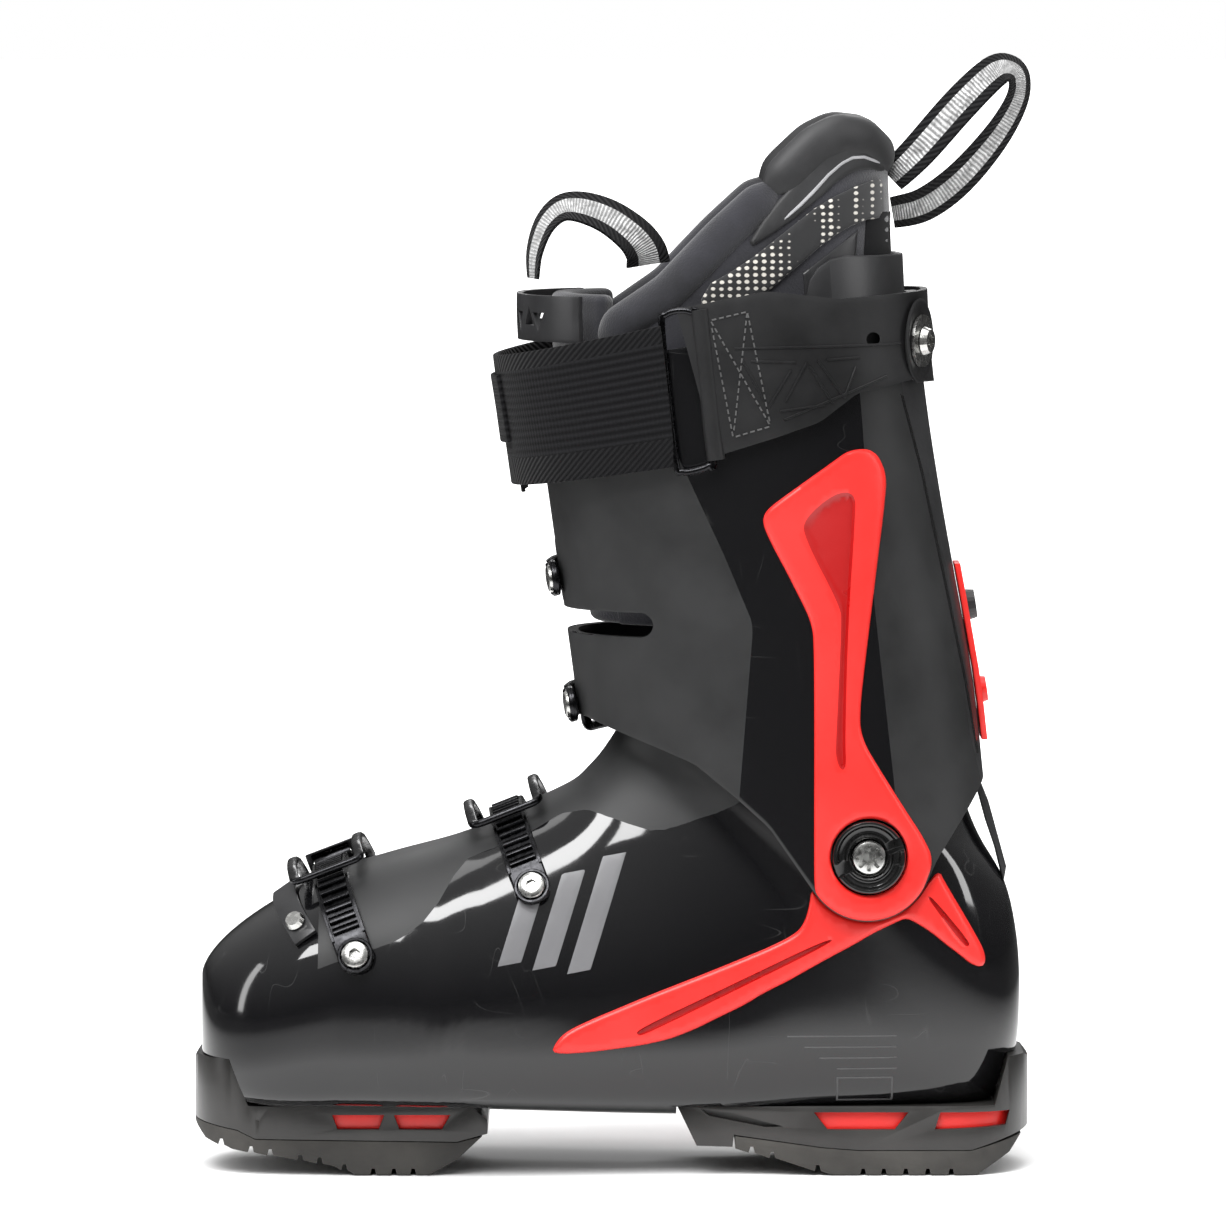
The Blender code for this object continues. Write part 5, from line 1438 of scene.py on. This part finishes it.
# A line round the boot in a leaning plane: run along it, height above it and side across it
class Track:
    def __init__(self, tree, centre, lean):
        tip = math.radians(lean)
        self.up = Vector((-math.sin(tip), 0, math.cos(tip)))
        self.across = Vector((math.cos(tip), 0, math.sin(tip)))
        self.origin = Vector((centre[0], 0, centre[1]))
        self.points = []
        for i in range(93):
            turn = math.radians(-100 + 2.5 * i)
            way = self.up * math.cos(turn) + Vector((0, math.sin(turn), 0))
            hit = tree.ray_cast(self.origin + way * 400, -way)[0]
            self.points.append(Vector((hit.y, (hit - self.origin).dot(self.up))))
        self.runs = [0.0]
        for a, b in zip(self.points, self.points[1:]):
            self.runs.append(self.runs[-1] + (b - a).length)

    def runAt(self, degrees):
        return self.runs[round((degrees + 100) / 2.5)]

    def at(self, run, height, side=0.0):
        k = next((i for i, r in enumerate(self.runs) if r > run), len(self.runs) - 1)
        low, high = max(k - 4, 0), min(k + 3, len(self.points) - 1)
        tangent = (self.points[high] - self.points[low]).normalized()
        share = (run - self.runs[k - 1]) / (self.runs[k] - self.runs[k - 1])
        flat = self.points[k - 1].lerp(self.points[k], share) + Vector((-tangent.y, tangent.x)) * height
        return self.origin + Vector((0, flat.x, 0)) + self.up * flat.y + self.across * side

    def strip(self, name, runs, lows, highs, halves):
        rows = []
        for run, low, high, h in zip(runs, lows, highs, halves):
            r = min(0.6, (high - low) * 0.35)
            rows.append([self.at(run, low, -h + r), self.at(run, low, h - r), self.at(run, low + r, h),
                         self.at(run, high - r, h), self.at(run, high, h - r), self.at(run, high, -h + r),
                         self.at(run, high - r, -h), self.at(run, low + r, -h)])
        return gridPiece(name, rows, True, True)


def ladder(name, track, start, end):
    h = hardware
    top = h["gap"] + h["base"]
    runs = [start - 6.3 + 6.3 * (1 - math.cos(a)) for a in np.linspace(0.15, math.pi / 2, 8)]
    halves = [max(h["ladderHalf"] * math.sin(a) ** 0.8, 1.2) for a in np.linspace(0.15, math.pi / 2, 8)]
    rest = list(np.arange(start + 2, end, 2.0))
    band = track.strip("ladderBand", runs + rest, [h["gap"]] * (len(runs) + len(rest)),
                       [top] * (len(runs) + len(rest)), halves + [h["ladderHalf"]] * len(rest))
    teeth = []
    for run in np.arange(start + 9.5, end - 1.5, h["pitch"]):
        shape = [(run - 0.2, top - 0.3), (run, top + h["tooth"]), (run + 0.9, top + h["tooth"]),
                 (run + 3.2, top - 0.3)]
        rows = [[track.at(r, z, side) for r, z in shape] for side in (-5.0, -4.6, 4.6, 5.0)]
        tooth = gridPiece("tooth", rows, True, True)
        bevel(tooth, 0.2, 2, 30)
        teeth.append(tooth)
    for side in (-5.9, 5.9):
        rail = list(np.arange(start + 7, end, 2.0))
        rows = [[track.at(r, top - 0.2, side - 0.6), track.at(r, top + 0.9, side - 0.4),
                 track.at(r, top + 0.9, side + 0.4), track.at(r, top - 0.2, side + 0.6)] for r in rail]
        teeth.append(gridPiece("rail", rows, True, True))
    ring = lathe("ladderRing", [(5.3, 0), (6.6, 0), (6.6, 0.9), (6.2, 1.4), (5.6, 1.4), (5.3, 0.9), (5.3, 0)],
                 track.at(start, top - 0.2), track.at(start, 10) - track.at(start, 0), 32)
    whole = joined("ladder_%s_fine" % name, [band, *teeth, ring])
    part = "ladder_" + name
    done(whole, bodyOf(part), "buckle", [part], 40)
    screw = lathe("ladderScrew_" + name, [(0.01, 0.2), (2.6, 0.2), (2.6, 0.5), (5.0, 0.5), (5.0, 1.5),
                                          (4.7, 2.1), (4.0, 2.45), (3.0, 2.6), (0.01, 2.6)],
                  track.at(start, top), track.at(start, 10) - track.at(start, 0), 40)
    way = (track.at(start, 10) - track.at(start, 0)).normalized()
    cut(screw, rod("torx", track.at(start, top + 1.0), track.at(start, top + 6), 2.2, 6))
    done(screw, bodyOf("ladder_screw_" + name), "steel", ["ladder_screw_" + name], 30)


# A closed line of points with its corners rounded
def rounded(points, size, steps=5):
    smooth = []
    for k, corner in enumerate(points):
        before, after = points[k - 1], points[(k + 1) % len(points)]
        a = corner + (before - corner).normalized() * min(size, (before - corner).length * 0.45)
        b = corner + (after - corner).normalized() * min(size, (after - corner).length * 0.45)
        for t in np.linspace(0, 1, steps):
            smooth.append(a.lerp(corner, t).lerp(corner.lerp(b, t), t))
    return smooth


def closedTube(name, points, wide, tall, upAt, sides=14):
    rows = []
    n = len(points)
    for k, point in enumerate(points):
        way = (points[(k + 1) % n] - points[k - 1]).normalized()
        up = (upAt - way * upAt.dot(way)).normalized()
        side = way.cross(up)
        ring = []
        for a in np.linspace(0, math.tau, sides, endpoint=False):
            c, s = math.cos(a), math.sin(a)
            ring.append(point + side * wide * math.copysign(abs(c) ** 0.7, c) + up * tall
                        * math.copysign(abs(s) ** 0.7, s))
        rows.append(ring)
    rows.append(rows[0])
    return gridPiece(name, rows, True, False)


def bail(name, track, hook, hinge):
    h = hardware
    runs = np.linspace(hook, hinge + h["reach"], 8)
    heights = [h["hookHeight"], 8.2, 8.6, 8.6, 8.4, 7.6, 6.6, h["height"]]
    one = [track.at(r, z, -h["bailHalf"]) for r, z in zip(runs, heights)]
    other = [track.at(r, z, h["bailHalf"]) for r, z in zip(runs, heights)]
    middle = track.at((hook + hinge) / 2, 10) - track.at((hook + hinge) / 2, 0)
    piece = closedTube("bail_%s_fine" % name, rounded(one + other[::-1], 3.0), h["bailWide"], h["bailTall"],
                       middle.normalized())
    done(piece, bodyOf("bail_" + name), "buckle", ["bail_" + name], 50)


for name, spec in buckles.items():
    track = Track(coarseLeg if "cuff" in name else coarseFoot, spec["centre"], spec["lean"])
    start, hook, hinge = (track.runAt(spec[key]) for key in ("start", "hook", "hinge"))
    ladder(name, track, start, hinge - 12)
    bail(name, track, hook, hinge)
print("buckles done")
